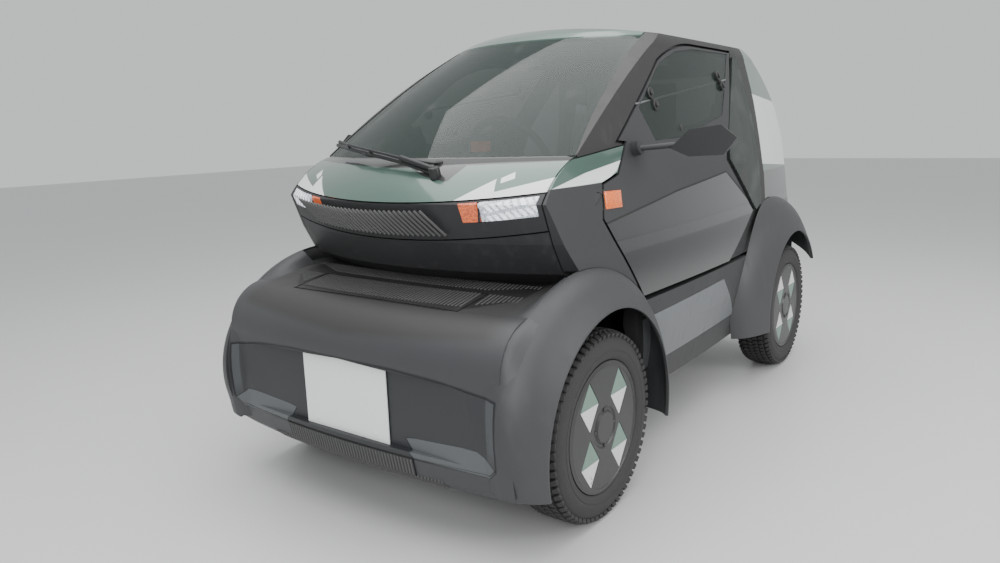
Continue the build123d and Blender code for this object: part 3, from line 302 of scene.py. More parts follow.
def nose_paint():
    """Green brow with the white flashes on both sides, and the dark foot of the windscreen."""
    f = painted("nose_paint", GREEN, 0.35)
    x = abs(f.x)
    flash, wedge, chip = (f.inside(x, f.z, area) for area in (NOSE_FLASH, NOSE_WEDGE, NOSE_CHIP))
    white = (flash + wedge + chip).clipped()
    drift = f.noise(5, 3)
    green = f.blend(drift * 0.3, GREEN, scaled(GREEN, 0.75))
    scuttle = (f.inside(f.x, f.z, SCUTTLE) + (f.z - abs(f.x) * 0.030).above(SCUTTLE_Z)).clipped()
    f.use("Base Color", f.blend(scuttle, f.blend(white, green, WHITE), (0.012, 0.012, 0.013)))
    f.use("Metallic", (1 - white) * (1 - scuttle) * 0.35)
    f.use("Roughness", (0.32 + scuttle * 0.25 + (drift - 0.5) * 0.1).clipped())
    return f


def bumper_finish():
    """Dark front moulding: painted shade in the recess and a darker painted-shade line round its edge,
    painted highlight on the pale step at the recess's foot and on its end wall, and a duller top.
    """
    f = Finish("bumper_finish")
    x = abs(f.x)
    # Painted shade in the recess and in a line round its edge; painted highlight on the step at its foot
    # and on its end wall.
    recess = f.inside(x, f.z, RECESS, 0.003)
    rim = f.inside(x, f.z, RECESS_RIM, 0.003)
    lit_ledge = f.inside(x, f.z, RECESS_LEDGE, 0.002)
    lit_end_wall = recess * x.above(0.502, 0.004) * f.z.above(0.31, 0.05)
    top = (f.z - x * 0.06).above(0.572, 0.02) * x.below(0.50, 0.06)
    plate = f.inside(x, f.y, BONNET_PLATE) * f.z.above(0.60)
    mottle = f.noise(8, 5)
    base = f.blend(mottle * 0.5, (0.034, 0.036, 0.0385), (0.050, 0.0525, 0.056))
    base = f.blend(top * 0.75, base, (0.024, 0.0225, 0.021))
    # The next three colours are painted shade on the edge line and in the recess, then painted highlight
    # on the step and end wall.
    base = f.blend(rim, base, (0.010, 0.0105, 0.0115))
    base = f.blend(recess, base, f.blend(mottle * 0.5, (0.0195, 0.0215, 0.024), (0.030, 0.033, 0.036)))
    base = f.blend((lit_ledge + lit_end_wall * 0.5).clipped(), base, (0.082, 0.089, 0.093))
    f.use("Base Color", f.blend(plate, base, (0.0095, 0.0092, 0.0088)))
    f.use("Roughness", (0.47 + (mottle - 0.5) * 0.18 + top * 0.1).clipped())
    f.raise_by((1 - recess) * 8 + lit_ledge * 5 + f.cells(620) * 0.05, 0.8, 0.0035)
    return f


def tail_paint():
    """Tail shell: green at the top, a white flash at the window's height and gloss black below."""
    f = painted("tail_paint", GREEN, 0.2, 0.2)
    drift = f.noise(5, 3)
    white = f.inside(f.y, f.z, TAIL_FLASH)
    black = f.z.below(0.90, 0.002)
    base = f.blend(white, f.blend(drift * 0.3, GREEN, scaled(GREEN, 0.75)), WHITE)
    f.use("Base Color", f.blend(black, base, BLACK))
    return f


def cowl_paint():
    """Green patch under the hoop's foot with its white flash, and dark plastic below."""
    f = Finish("cowl_paint", Coat_Roughness=0.08)
    patch = f.inside(f.y, f.z, COWL_PATCH)
    flash = f.inside(f.y, f.z, COWL_FLASH)
    drift = f.noise(6, 4)
    dark = f.blend(drift * 0.4, (0.021, 0.0215, 0.023), (0.034, 0.035, 0.037))
    green = f.blend(drift * 0.3, GREEN, scaled(GREEN, 0.75))
    f.use("Base Color", f.blend(patch, dark, f.blend(flash, green, WHITE)))
    f.use("Roughness", (0.55 - patch * 0.24 + (drift - 0.5) * 0.15).clipped())
    f.use("Metallic", patch * (1 - flash) * 0.35)
    f.use("Coat Weight", patch * 0.9)
    f.raise_by(f.cells(620) * (1 - patch), 0.2, 0.0006)
    return f


def door_finish():
    """Dark door: grained above, a gloss black panel below its slanting top line."""
    f = Finish("door_finish", Coat_Roughness=0.04)
    gloss = f.inside(f.y, f.z, DOOR_GLOSS)
    edge = f.inside(f.y, f.z, DOOR_EDGE) * (1 - gloss)
    drift = f.noise(6, 4)
    swirl = f.noise(60, 5, (1, 1, 0.2)).above(0.6, 0.12)
    dark = f.blend(drift * 0.4, (0.023, 0.0235, 0.025), (0.036, 0.037, 0.039))
    dusty = ((0.72 - f.z) * 3.2).clipped() * drift * 0.18
    shine = f.blend((dusty + swirl * 0.03).clipped(), BLACK, (0.12, 0.12, 0.115))
    colour = f.blend(gloss, dark, shine)
    f.use("Base Color", f.blend(edge, colour, (0.004, 0.004, 0.004)))
    f.use("Roughness", (0.56 - gloss * 0.42 + dusty * 0.9 + (drift - 0.5) * 0.1).clipped())
    f.use("Coat Weight", gloss * 0.8)
    f.raise_by(f.cells(620) * (1 - gloss) + f.noise(90, 2) * gloss * 0.1 - edge * 2, 0.2, 0.0006)
    return f


def window_glass(name, tint, clear):
    """Tinted glazing with a few faint smears."""
    f = Finish(name, Specular_IOR_Level=0.32, IOR=1.45)
    smear = f.noise(9, 5, (1, 0.4, 1)).above(0.66, 0.14)
    f.use("Base Color", f.blend(smear * 0.1, tint, (0.35, 0.37, 0.36)))
    f.use("Roughness", (0.03 + smear * 0.06).clipped())
    f.use("Alpha", (clear + smear * 0.03).clipped())
    return f


def tyre_rubber():
    """Grey-black rubber, worn and dusty."""
    f = Finish("tyre_rubber")
    grime = f.noise(26, 5)
    fine = f.noise(300, 3)
    base = f.blend(grime, (0.012, 0.012, 0.0125), (0.034, 0.033, 0.032))
    f.use("Base Color", f.blend((fine.above(0.6, 0.2) * 0.2).clipped(), base, (0.075, 0.072, 0.068)))
    f.use("Roughness", (0.72 + (grime - 0.5) * 0.3).clipped())
    f.raise_by(fine + f.cells(180) * 0.6, 0.3, 0.0007)
    return f


def worn_paint(name, colour):
    """Painted inlay with chipped, rubbed edges and brake dust."""
    f = Finish(name, Coat_Weight=0.4, Coat_Roughness=0.2)
    chips = (f.noise(55, 6) + f.noise(190, 4) * 0.5).above(0.98, 0.05)
    dust = f.noise(14, 4)
    base = f.blend(dust * 0.28, colour, scaled(colour, 0.62))
    f.use("Base Color", f.blend(chips * 0.8, base, (0.05, 0.048, 0.045)))
    f.use("Roughness", (0.36 + dust * 0.25 + chips * 0.2).clipped())
    f.raise_by(1 - chips, 0.3, 0.0004)
    return f


def lamp_finish():
    """Lamp with the amber turn light inboard and rows of white elements outboard."""
    f = Finish("lamp_lens", Coat_Weight=1.0, Coat_Roughness=0.02)
    x = abs(f.x)
    amber = x.below(0.336, 0.001)
    slant = x + f.z * 0.7
    ribs = slant.cycle(0.021).above(0.42, 0.06)
    rows = (f.z - x * 0.22).cycle(0.030).above(0.30, 0.06)
    lit = (1 - amber) * rows * ribs * x.above(0.352, 0.002)
    facets = f.cells(170)
    white = f.blend(facets * 1.2, (0.16, 0.17, 0.19), (0.85, 0.88, 0.93))
    orange = f.blend(facets * 1.3, (0.95, 0.20, 0.03), (0.42, 0.05, 0.008))
    f.use("Base Color", f.blend(amber, white, orange))
    glow = f.blend(lit, (0.10, 0.12, 0.16), (0.85, 0.92, 1.0))
    f.use("Emission Color", f.blend(amber, glow, (0.18, 0.03, 0.004)))
    f.shader.inputs["Emission Strength"].default_value = 1.25
    f.use("Roughness", (0.08 + facets * 0.1).clipped())
    f.raise_by(facets + ribs * 0.4, 0.5, 0.002)
    return f


def lens_finish(name, colour, deep, scale=160):
    """Coloured lens with small facets."""
    f = Finish(name, Coat_Weight=1.0, Coat_Roughness=0.03)
    facets = f.cells(scale)
    f.use("Base Color", f.blend(facets * 1.3, colour, deep))
    f.use("Emission Color", f.blend(facets * 1.3, scaled(colour, 0.3), scaled(deep, 0.3)))
    f.shader.inputs["Emission Strength"].default_value = 0.5
    f.use("Roughness", (0.12 + facets * 0.1).clipped())
    f.raise_by(facets, 0.4, 0.0015)
    return f


THREAD_PITCH = 0.0022


def seat_fabric():
    """Woven seat cover: crossed threads and a soft nap."""
    f = Finish("seat_fabric", Sheen_Weight=0.3)
    warp = (f.x * (2 * pi / THREAD_PITCH)).maths("SINE")
    weft = ((f.z + f.y) * (2 * pi / THREAD_PITCH)).maths("SINE")
    weave = warp * weft
    nap = f.noise(18, 4)
    shade = (nap * 0.5 + weave * 0.15).clipped()
    f.use("Base Color", f.blend(shade, (0.022, 0.023, 0.026), (0.062, 0.063, 0.068)))
    f.use("Roughness", (0.86 + (nap - 0.5) * 0.15).clipped())
    f.raise_by(weave * 0.3 + nap, 0.12, 0.0004)
    return f


def plain_metal(name, colour, roughness):
    """Bare metal with brush marks."""
    f = Finish(name, Metallic=1.0)
    brushed = f.noise(60, 4, (12, 1, 1))
    f.use("Base Color", f.blend(brushed * 0.4, colour, scaled(colour, 0.6)))
    f.use("Roughness", (roughness + (brushed - 0.5) * 0.25).clipped())
    f.raise_by(brushed, 0.15, 0.0004)
    return f


def plate_white():
    """Blank plate, plain white."""
    f = Finish("plate_white", Coat_Weight=0.3, Coat_Roughness=0.2)
    drift = f.noise(12, 3)
    f.use("Base Color", f.blend(drift * 0.3, (0.80, 0.82, 0.81), (0.70, 0.72, 0.72)))
    f.use("Roughness", (0.38 + (drift - 0.5) * 0.1).clipped())
    f.raise_by(f.noise(200, 2), 0.05, 0.0003)
    return f


front_glass = window_glass("windscreen_glass", (0.030, 0.043, 0.039), 0.55)
side_glass = window_glass("side_window_glass", (0.022, 0.032, 0.028), 0.66)
bumper_mix = bumper_finish()
tail_green = tail_paint()
nose_green = nose_paint()
cowl_mix = cowl_paint()
door_mix = door_finish()
rubber = tyre_rubber()
cover_black = moulded_plastic("wheel_cover_black", (0.015, 0.015, 0.016), 0.35, 0.3)
inlay_white = worn_paint("inlay_white", (0.62, 0.63, 0.62))
inlay_green = worn_paint("inlay_green", (0.13, 0.22, 0.175))
lamp_lens = lamp_finish()
red_lens = lens_finish("red_lamp_lens", (0.62, 0.02, 0.015), (0.20, 0.004, 0.003))
orange_lens = lens_finish("orange_lamp_lens", (1.0, 0.24, 0.02), (0.62, 0.09, 0.006), 240)
fabric = seat_fabric()
steel = plain_metal("machined_steel", (0.36, 0.36, 0.37), 0.4)
blank_plate = plate_white()

wheel_ends = [end + "_" + side for end in ("front", "rear") for side in ("left", "right")]
node_finishes = (
    (front_glass, ["windscreen"]),
    (side_glass, ["rear_window", "quarter_windows", "door_glass_left", "door_glass_right"]),
    (hoop_plastic, ["roof_hoops"]),
    (green_paint, ["roof_panel"]),
    (nose_green, ["nose_panel"]),
    (cowl_mix, ["side_cowls"]),
    (tail_green, ["tail_shell"]),
    (door_mix, ["door_left", "door_right"]),
    (bumper_mix, ["front_bumper"]),
    (lid_plastic, ["front_lid"]),
    (grey_plastic, ["front_fenders", "rear_fenders", "rear_bumper"]),
    (pale_panel, ["sill_panels"]),
    (dark_plastic, ["nose_band", "nose_apron", "sills", "mirror_left", "mirror_right"]),
    (frame_paint, ["cabin_frames", "chassis_frame", "battery_pack", "rear_axle"]),
    (frame_paint, ["front_suspension", "wiper"]),
    (cabin_plastic, ["floor_tub", "dashboard", "steering_wheel", "seat_shell"]),
    (lamp_lens, ["headlamps"]),
    (red_lens, ["tail_lamps"]),
    (steel, ["knuckle_left", "knuckle_right"]),
    (fabric, ["driver_seat", "rear_seat"]),
    (rubber, ["tyre_" + place for place in wheel_ends]),
    (cover_black, ["wheel_" + place for place in wheel_ends]),
)
for finish, nodes in node_finishes:
    for node in nodes:
        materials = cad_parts[node].data.materials
        materials.clear()
        materials.append(finish.material)


# Making pieces by hand

MERGE = 0.00005


def nothing_selected():
    """Leaves edit mode and deselects everything."""
    if bpy.context.object and bpy.context.object.mode != "OBJECT":
        bpy.ops.object.mode_set(mode="OBJECT")
    bpy.ops.object.select_all(action="DESELECT")


def block(name, centre, size, bevel=0.0, segments=2, turn=(0, 0, 0)):
    """Box with rounded edges, turned about its own centre."""
    nothing_selected()
    bpy.ops.mesh.primitive_cube_add(size=1, location=centre, rotation=turn, scale=size)
    piece = bpy.context.object
    piece.name = name
    bpy.ops.object.transform_apply(location=True, rotation=True, scale=True)
    if bevel:
        bpy.ops.object.mode_set(mode="EDIT")
        bpy.ops.mesh.select_all(action="SELECT")
        bpy.ops.mesh.bevel(offset=bevel, segments=segments, affect="EDGES")
        bpy.ops.object.mode_set(mode="OBJECT")
    return piece


def disc(name, centre, radius, depth, turn=(0, 0, 0), vertices=32, bevel=0.0):
    """Round piece along its own axis."""
    nothing_selected()
    bpy.ops.mesh.primitive_cylinder_add(
        vertices=vertices, radius=radius, depth=depth, location=centre, rotation=turn)
    piece = bpy.context.object
    piece.name = name
    bpy.ops.object.transform_apply(location=True, rotation=True, scale=True)
    if bevel:
        modifier = piece.modifiers.new("edge", "BEVEL")
        modifier.width = bevel
        modifier.segments = 3
        bpy.ops.object.modifier_apply(modifier="edge")
    return piece


def drawn_line(name, points):
    """A chain of points drawn by extruding one corner."""
    nothing_selected()
    bpy.ops.mesh.primitive_plane_add(size=0.01, location=points[0])
    piece = bpy.context.object
    piece.name = name
    bpy.ops.object.transform_apply(location=True, rotation=True, scale=True)
    bpy.ops.object.mode_set(mode="EDIT")
    bpy.ops.mesh.select_all(action="SELECT")
    bpy.ops.mesh.merge(type="CENTER")
    for start, end in zip(points, points[1:]):
        step = [e - s for s, e in zip(start, end)]
        bpy.ops.mesh.extrude_region_move(TRANSFORM_OT_translate={"value": step})
    bpy.ops.object.mode_set(mode="OBJECT")
    return piece


def spun(name, points, centre, axis, steps):
    """Profile turned all the way round an axis."""
    piece = drawn_line(name, points)
    bpy.ops.object.mode_set(mode="EDIT")
    bpy.ops.mesh.select_all(action="SELECT")
    bpy.ops.mesh.spin(steps=steps, angle=2 * pi, center=centre, axis=axis)
    bpy.ops.mesh.select_all(action="SELECT")
    bpy.ops.mesh.remove_doubles(threshold=MERGE)
    bpy.ops.mesh.normals_make_consistent(inside=False)
    bpy.ops.object.mode_set(mode="OBJECT")
    return piece


def outline_slab(name, points, push):
    """Flat outline pushed into a slab."""
    piece = drawn_line(name, points)
    bpy.ops.object.mode_set(mode="EDIT")
    bpy.ops.mesh.select_all(action="SELECT")
    bpy.ops.mesh.edge_face_add()
    bpy.ops.mesh.extrude_region_move(TRANSFORM_OT_translate={"value": push})
    bpy.ops.mesh.select_all(action="SELECT")
    bpy.ops.mesh.normals_make_consistent(inside=False)
    bpy.ops.object.mode_set(mode="OBJECT")
    return piece


def copies(piece, places):
    """The piece again at each place instead of where it was, each with its own mesh, joined into one."""
    made = []
    for place in places:
        twin = piece.copy()
        twin.data = piece.data.copy()
        twin.data.transform(place)
        if place.determinant() < 0:
            twin.data.flip_normals()
        bpy.context.scene.collection.objects.link(twin)
        made.append(twin)
    row = joined(piece.name, made)
    bpy.data.objects.remove(piece, do_unlink=True)
    return row


def mirrored(piece):
    """The same piece on the other side, with its own mesh."""
    twin = piece.copy()
    twin.data = piece.data.copy()
    bpy.context.scene.collection.objects.link(twin)
    return copies(twin, [ACROSS])


def joined(name, parts):
    """Several pieces as one object."""
    nothing_selected()
    for part in parts:
        part.select_set(True)
    bpy.context.view_layer.objects.active = parts[0]
    if len(parts) > 1:
        bpy.ops.object.join()
    piece = bpy.context.object
    piece.name = name
    return piece


def smoothed(piece, angle=35):
    """Smooth shading up to an angle in degrees."""
    nothing_selected()
    piece.select_set(True)
    bpy.context.view_layer.objects.active = piece
    bpy.ops.object.shade_smooth_by_angle(angle=radians(angle))
    return piece


def dress(piece, name, body, finish, replaced=()):
    """Gives a finished piece its name, body, finish and slot, and the CAD nodes it stands for."""
    piece.name = name
    piece.data.materials.clear()
    piece.data.materials.append(finish.material)
    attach(piece, body)
    if replaced:
        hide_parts(*replaced)
    return piece


def about(point, axis, angle):
    """Turn about an axis through a point."""
    centre = Vector(point)
    turn = Matrix.Rotation(angle, 4, Vector(axis))
    return Matrix.Translation(centre) @ turn @ Matrix.Translation(-centre)


ACROSS = Matrix.Diagonal((-1, 1, 1, 1))
UP = (0, 0, 1)
AXLE = (1, 0, 0)


# Tyres: carcass turned on its axle, with blocks in six rows

# Half of the carcass as (offset from its middle, radius)
TYRE_HALF = [
    (0.0, 0.2695), (0.030, 0.2690), (0.050, 0.2665), (0.062, 0.2610), (0.0695, 0.2510), (0.0735, 0.2380),
    (0.0745, 0.2270), (0.0740, 0.2220), (0.0728, 0.2205), (0.0728, 0.2170), (0.0738, 0.2160),
    (0.0725, 0.2060), (0.0690, 0.1975), (0.0660, 0.1945), (0.0615, 0.1930), (0.0594, 0.1900),
    (0.0594, 0.1785),
]
TYRE_STEPS = 96
# Rows of blocks: offset, width, length, outer radius, slant and lean in degrees, number, start in pitches
TREAD_ROWS = (
    (0.012, 0.021, 0.0165, 0.2785, 20, 0, 80, 0.0), (-0.012, 0.021, 0.0165, 0.2785, -20, 0, 80, 0.5),
    (0.0365, 0.0205, 0.0180, 0.2780, 14, 0, 72, 0.25), (-0.0365, 0.0205, 0.0180, 0.2780, -14, 0, 72, 0.75),
    (0.0600, 0.0190, 0.0170, 0.2725, 6, 26, 66, 0.0), (-0.0600, 0.0190, 0.0170, 0.2725, -6, -26, 66, 0.4),
)
KNOB_HEIGHT = 0.013
KNOB_BEVEL = 0.0016


def tyre(end, side, axle_y):
    centre = (WHEEL_X, axle_y, TYRE_R)

    def at(offset, radius):
        return (WHEEL_X + offset, axle_y, TYRE_R + radius)

    outer = [at(x, r) for x, r in reversed(TYRE_HALF)]
    inner = [at(-x, r) for x, r in TYRE_HALF[1:]]
    carcass = spun("carcass", outer + inner + outer[:1], centre, AXLE, TYRE_STEPS)
    rows = []
    for offset, width, length, top, slant, lean, number, start in TREAD_ROWS:
        size = (width, length, KNOB_HEIGHT)
        turn = (0, radians(lean), radians(slant))
        knob = block("knob", at(offset, top - KNOB_HEIGHT / 2), size, KNOB_BEVEL, 1, turn)
        turns = [about(centre, AXLE, 2 * pi * (k + start) / number) for k in range(number)]
        rows.append(copies(knob, turns))
    piece = joined("tyre", [carcass] + rows)
    if side == "right":
        piece = copies(piece, [ACROSS])
    smoothed(piece, 40)
    name = end + "_" + side
    dress(piece, "road_tyre_" + name, name + "_wheel", rubber, ("tyre_" + name,))


# Wheel covers: two-coloured diamonds, four nuts and a plain hub cap

DIAMOND_CENTRE_R = 0.118
DIAMOND_LONG = 0.071
DIAMOND_SHORT = 0.048
DIAMOND_HALF_GAP = 0.0008
INLAY_LIMIT_R = 0.1735
INLAY_X = WHEEL_X + 0.0655
INLAY_THICK = 0.0018
CAP_X = WHEEL_X + 0.0665
CAP_R = 0.041
NUT_X = WHEEL_X + 0.0645
NUT_R = 0.0055
NUT_CIRCLE_R = 0.053
HUB_THICK = 0.006


def half_diamond(centre, upper):
    """Corners of the upper or lower half of one diamond, held inside the cover's rim."""
    gap, tip, side = DIAMOND_HALF_GAP, DIAMOND_LONG, DIAMOND_SHORT
    kept = []
    for a, b in ((-side, gap), (0, gap), (side, gap), (0, tip)):
        y, z = centre[0] + a, centre[1] + (b if upper else -b)
        pull = min(1.0, INLAY_LIMIT_R / sqrt(y ** 2 + z ** 2))
        kept.append((y * pull, z * pull))
    return kept


def wheel_cover(end, side, axle_y):
    name = end + "_" + side
    colours = (inlay_green, inlay_white) if end == "front" else (inlay_white, inlay_green)
    for half, finish in zip(("upper", "lower"), colours):
        parts = []
        for k in range(4):
            angle = radians(45 + 90 * k)
            spot = (DIAMOND_CENTRE_R * cos(angle), DIAMOND_CENTRE_R * sin(angle))
            points = [(INLAY_X, axle_y + a, TYRE_R + b) for a, b in half_diamond(spot, half == "upper")]
            parts.append(outline_slab("inlay", points, (INLAY_THICK, 0, 0)))
        piece = joined("inlays", parts)
        if side == "right":
            piece = copies(piece, [ACROSS])
        dress(piece, "cover_" + half + "_inlays_" + name, name + "_wheel", finish)
    sideways = (0, pi / 2, 0)
    cap = disc("cap", (CAP_X, axle_y, TYRE_R), CAP_R, HUB_THICK, sideways, 48, 0.0015)
    nuts = []
    for k in range(4):
        angle = radians(90 * k)
        at = (NUT_X, axle_y + NUT_CIRCLE_R * cos(angle), TYRE_R + NUT_CIRCLE_R * sin(angle))
        nuts.append(disc("nut", at, NUT_R, HUB_THICK, sideways, 6, 0.0008))
    trim = joined("trim", [cap] + nuts)
    if side == "right":
        trim = copies(trim, [ACROSS])
    smoothed(trim)
    dress(trim, "hub_cap_" + name, name + "_wheel", cover_black)


for end, axle_y in (("front", FRONT_AXLE_Y), ("rear", REAR_AXLE_Y)):
    for side in ("left", "right"):
        tyre(end, side, axle_y)
        wheel_cover(end, side, axle_y)


# Nose band: slanted ribs in the dark band, laid round the nose's upright axis

NOSE_FOOT = (0.807, 1.281)
NOSE_WIDEN = 0.044 / 0.113
BAND_LOW = 0.828
BAND_HIGH = 0.908
BAND_RIB_WIDTH = 0.0078
BAND_RIB_DEPTH = 0.0065
BAND_RIB_OUT = 0.002
BAND_RIB_PITCH = 0.0182
BAND_RIBS = 32
BAND_RIB_START = -0.374
BAND_RIB_SLANT = -40
BAND_RIB_STRETCH = 1.28
BAND_BOW = 0.030 / 0.5 ** 2
LAMP_BAR_X = 0.3375
LAMP_BAR_Z = 0.901


def nose_radius(z):
    """Radius of the nose's surface about its upright axis."""
    return NOSE_FOOT[1] + (z - NOSE_FOOT[0]) * NOSE_WIDEN


def on_nose(x, z, out=0.0):
    """Point on the nose's surface, or a little outside it."""
    r = nose_radius(z) + out
    return (x, FORM_AXIS_Y - sqrt(r * r - x * x), z)


def band_ribs():
    middle_z = (BAND_LOW + BAND_HIGH) / 2
    height = BAND_HIGH - BAND_LOW
    foot, top = on_nose(0, BAND_LOW, BAND_RIB_OUT), on_nose(0, BAND_HIGH, BAND_RIB_OUT)
    size = (BAND_RIB_WIDTH, BAND_RIB_DEPTH, height * BAND_RIB_STRETCH)
    rib = block("rib", (0, (foot[1] + top[1]) / 2, middle_z), size, 0.0016, 1)
    rib.data.transform(about((0, foot[1], BAND_LOW), AXLE, -atan2(top[1] - foot[1], height)))
    rib.data.transform(about(on_nose(0, middle_z), (0, 1, 0), radians(BAND_RIB_SLANT)))
    places = []
    for k in range(BAND_RIBS):
        x = BAND_RIB_START + k * BAND_RIB_PITCH
        turn = about((0, FORM_AXIS_Y, 0), UP, x / nose_radius(0.87))
        places.append(Matrix.Translation((0, 0, BAND_BOW * x ** 2)) @ turn)
    dress(copies(rib, places), "nose_band_ribs", "body", lit_rib_plastic)


def lamp_bars():
    """The dark bar between each lamp's two colours."""
    at = on_nose(LAMP_BAR_X, LAMP_BAR_Z, 0.0005)
    left = block("bar", at, (0.0055, 0.007, 0.056), 0.001, 1, (0, 0, LAMP_BAR_X / 1.3))
    dress(joined("bars", [left, mirrored(left)]), "lamp_bars", "body", frame_paint)


band_ribs()
lamp_bars()


# Bonnet and lip ribs, laid round the bumper's far axis

BONNET_EDGE = (-1.085, 0.648)
BONNET_SLOPE = 0.024 / 0.155
BONNET_RIB_PITCH = 0.0126
BONNET_RIB_WIDTH = 0.0060
BONNET_RIB_THICK = 0.004
BONNET_RIB_LIFT = 0.0014
PLATE_CORNER_X = 0.31
PLATE_CORNER_SLANT = 5.5
SHORTEST_RIB = 0.35
LIP_PITCH = 0.0115
LIP_RADIUS = BUMPER_AXIS_Y + 1.2
LIP_LEAN = radians(12)
LIP_UNDER_LEAN = radians(47)


def bonnet_height(y):
    """Height of the bonnet's surface at the car's middle."""
    return BONNET_EDGE[1] + (y - BONNET_EDGE[0]) * BONNET_SLOPE


def round_bumper(angle):
    """Turn about the bumper's far axis."""
    return about((0, BUMPER_AXIS_Y, 0), UP, angle)


def ribs_between(name, body, front_y, rear_y, last, inner_x=0.0):
    """Fore-and-aft ribs, shorter towards the plate's slanting corners."""
    length = rear_y - front_y
    middle = (front_y + rear_y) / 2
    slope = atan2(bonnet_height(rear_y) - bonnet_height(front_y), length)
    centre = (0, middle, bonnet_height(middle) + BONNET_RIB_LIFT)
    rib = block("rib", centre, (BONNET_RIB_WIDTH, length, BONNET_RIB_THICK), 0.001, 1, (slope, 0, 0))
    rear = Vector((0, rear_y, bonnet_height(rear_y)))
    places = []
    for k in range(-last, last + 1):
        x = k * BONNET_RIB_PITCH
        if abs(x) < inner_x:
            continue
        short = min(1.0, max(SHORTEST_RIB, 1 - (abs(x) - PLATE_CORNER_X) * PLATE_CORNER_SLANT))
        drawn_in = Matrix.Diagonal((1, short, short, 1))
        shorter = Matrix.Translation(rear) @ drawn_in @ Matrix.Translation(-rear)
        places.append(round_bumper(x / (BUMPER_AXIS_Y - middle)) @ shorter)
    dress(copies(rib, places), name, body, lit_rib_plastic)


ribs_between("lid_ribs", "lid", -1.066, -0.962, 25)
ribs_between("bonnet_side_ribs", "body", -1.066, -0.962, 36, 0.345)
ribs_between("bonnet_rear_ribs", "body", -0.934, -0.875, 36)


def lip_ribs():
    """Upright ribs along the bumper's lower lip, over a dark strip that follows the lip round and darkens
    the gaps between the ribs: painted shade.
    """
    front = block("rib", (0, -1.2035, 0.234), (0.0058, 0.0095, 0.050), 0.0012, 1, (LIP_LEAN, 0, 0))
    under = block("rib", (0, -1.1830, 0.1945), (0.0058, 0.0085, 0.042), 0.0012, 1, (LIP_UNDER_LEAN, 0, 0))
    # The dark strip behind the ribs is painted shade in the gaps between them.
    strip = block("strip", (0, -1.2022, 0.234), (0.0125, 0.0085, 0.054), turn=(LIP_LEAN, 0, 0))

    def turns(last):
        return [round_bumper(k * LIP_PITCH / LIP_RADIUS) for k in range(-last, last + 1)]

    dress(copies(strip, turns(22)), "lip_shade_strip", "body", frame_paint)
    ribs = joined("ribs", [copies(front, turns(22)), copies(under, turns(30))])
    dress(ribs, "lip_ribs", "body", lit_rib_plastic)


lip_ribs()


# Fairings that carry the bumper's surface into the front fenders

FENDER_LIP_R = 0.350
# The fender's radii at its inner edge, every 30 degrees from 30 below straight ahead
FENDER_RADII = (0.395, 0.410, 0.452, 0.452, 0.450)
FENDER_STEP = 30
# The bumper's side view as (height, length)
BUMPER_SIDE = (
    (0.172, -1.160), (0.205, -1.196), (0.270, -1.211), (0.400, -1.215), (0.500, -1.213), (0.555, -1.2035),
    (0.600, -1.180), (0.630, -1.140), (0.648, -1.085), (0.672, -0.930), (0.690, -0.740),
)
FAIRING_X = (0.485, 0.515, 0.543, 0.560, 0.580)
FAIRING_ANGLES = [radians(-9 + 4 * step) for step in range(23)]
FAIRING_WALL = 0.004
FAIRING_LIFT = 0.0006
BUMPER_END_X = 0.541


def bumper_radius(x, angle):
    """Distance from the front axle to the bumper's surface, at an angle above straight ahead."""
    low, high = 0.30, 0.60
    for _ in range(40):
        middle = (low + high) / 2
        y, z = FRONT_AXLE_Y - middle * cos(angle), TYRE_R + middle * sin(angle)
        inner = BUMPER_AXIS_Y - sqrt(x * x + (BUMPER_AXIS_Y - y) ** 2)
        if outside_bumper(inner, z):
            high = middle
        else:
            low = middle
    return low


def outside_bumper(y, z):
    """True in front of or above the bumper's side view."""
    if z >= BUMPER_SIDE[-1][0]:
        return True
    for (z0, y0), (z1, y1) in zip(BUMPER_SIDE, BUMPER_SIDE[1:]):
        if z0 <= z <= z1:
            return y < y0 + (y1 - y0) * (z - z0) / (z1 - z0)
    return z < BUMPER_SIDE[0][0]


def fender_radius(angle):
    """Radius of the fender's inner edge at an angle above straight ahead."""
    step = degrees(angle) / FENDER_STEP
    if step < 0:
        return FENDER_RADII[1] + (FENDER_RADII[0] - FENDER_RADII[1]) * -step
    k = min(int(step), 2)
    t = step - k
    t = t * t * (3 - 2 * t) * 0.5 + t * 0.5
    return FENDER_RADII[k + 1] + (FENDER_RADII[k + 2] - FENDER_RADII[k + 1]) * t


def fairing_radii(angle):
    """Radii at the places across the fairing: sunk in the bumper, over both edges, sunk in the fender."""
    edge = fender_radius(angle)
    crest = max(bumper_radius(BUMPER_END_X, angle), edge) + FAIRING_LIFT
    inner = bumper_radius(FAIRING_X[0], angle) - 0.003
    middle = max(bumper_radius(FAIRING_X[1], angle) + FAIRING_LIFT, (inner + crest) / 2)
    outer = FENDER_LIP_R + (edge - FENDER_LIP_R) * 0.885 - 0.0015
    return inner, middle, crest, crest * 0.62 + outer * 0.38, outer


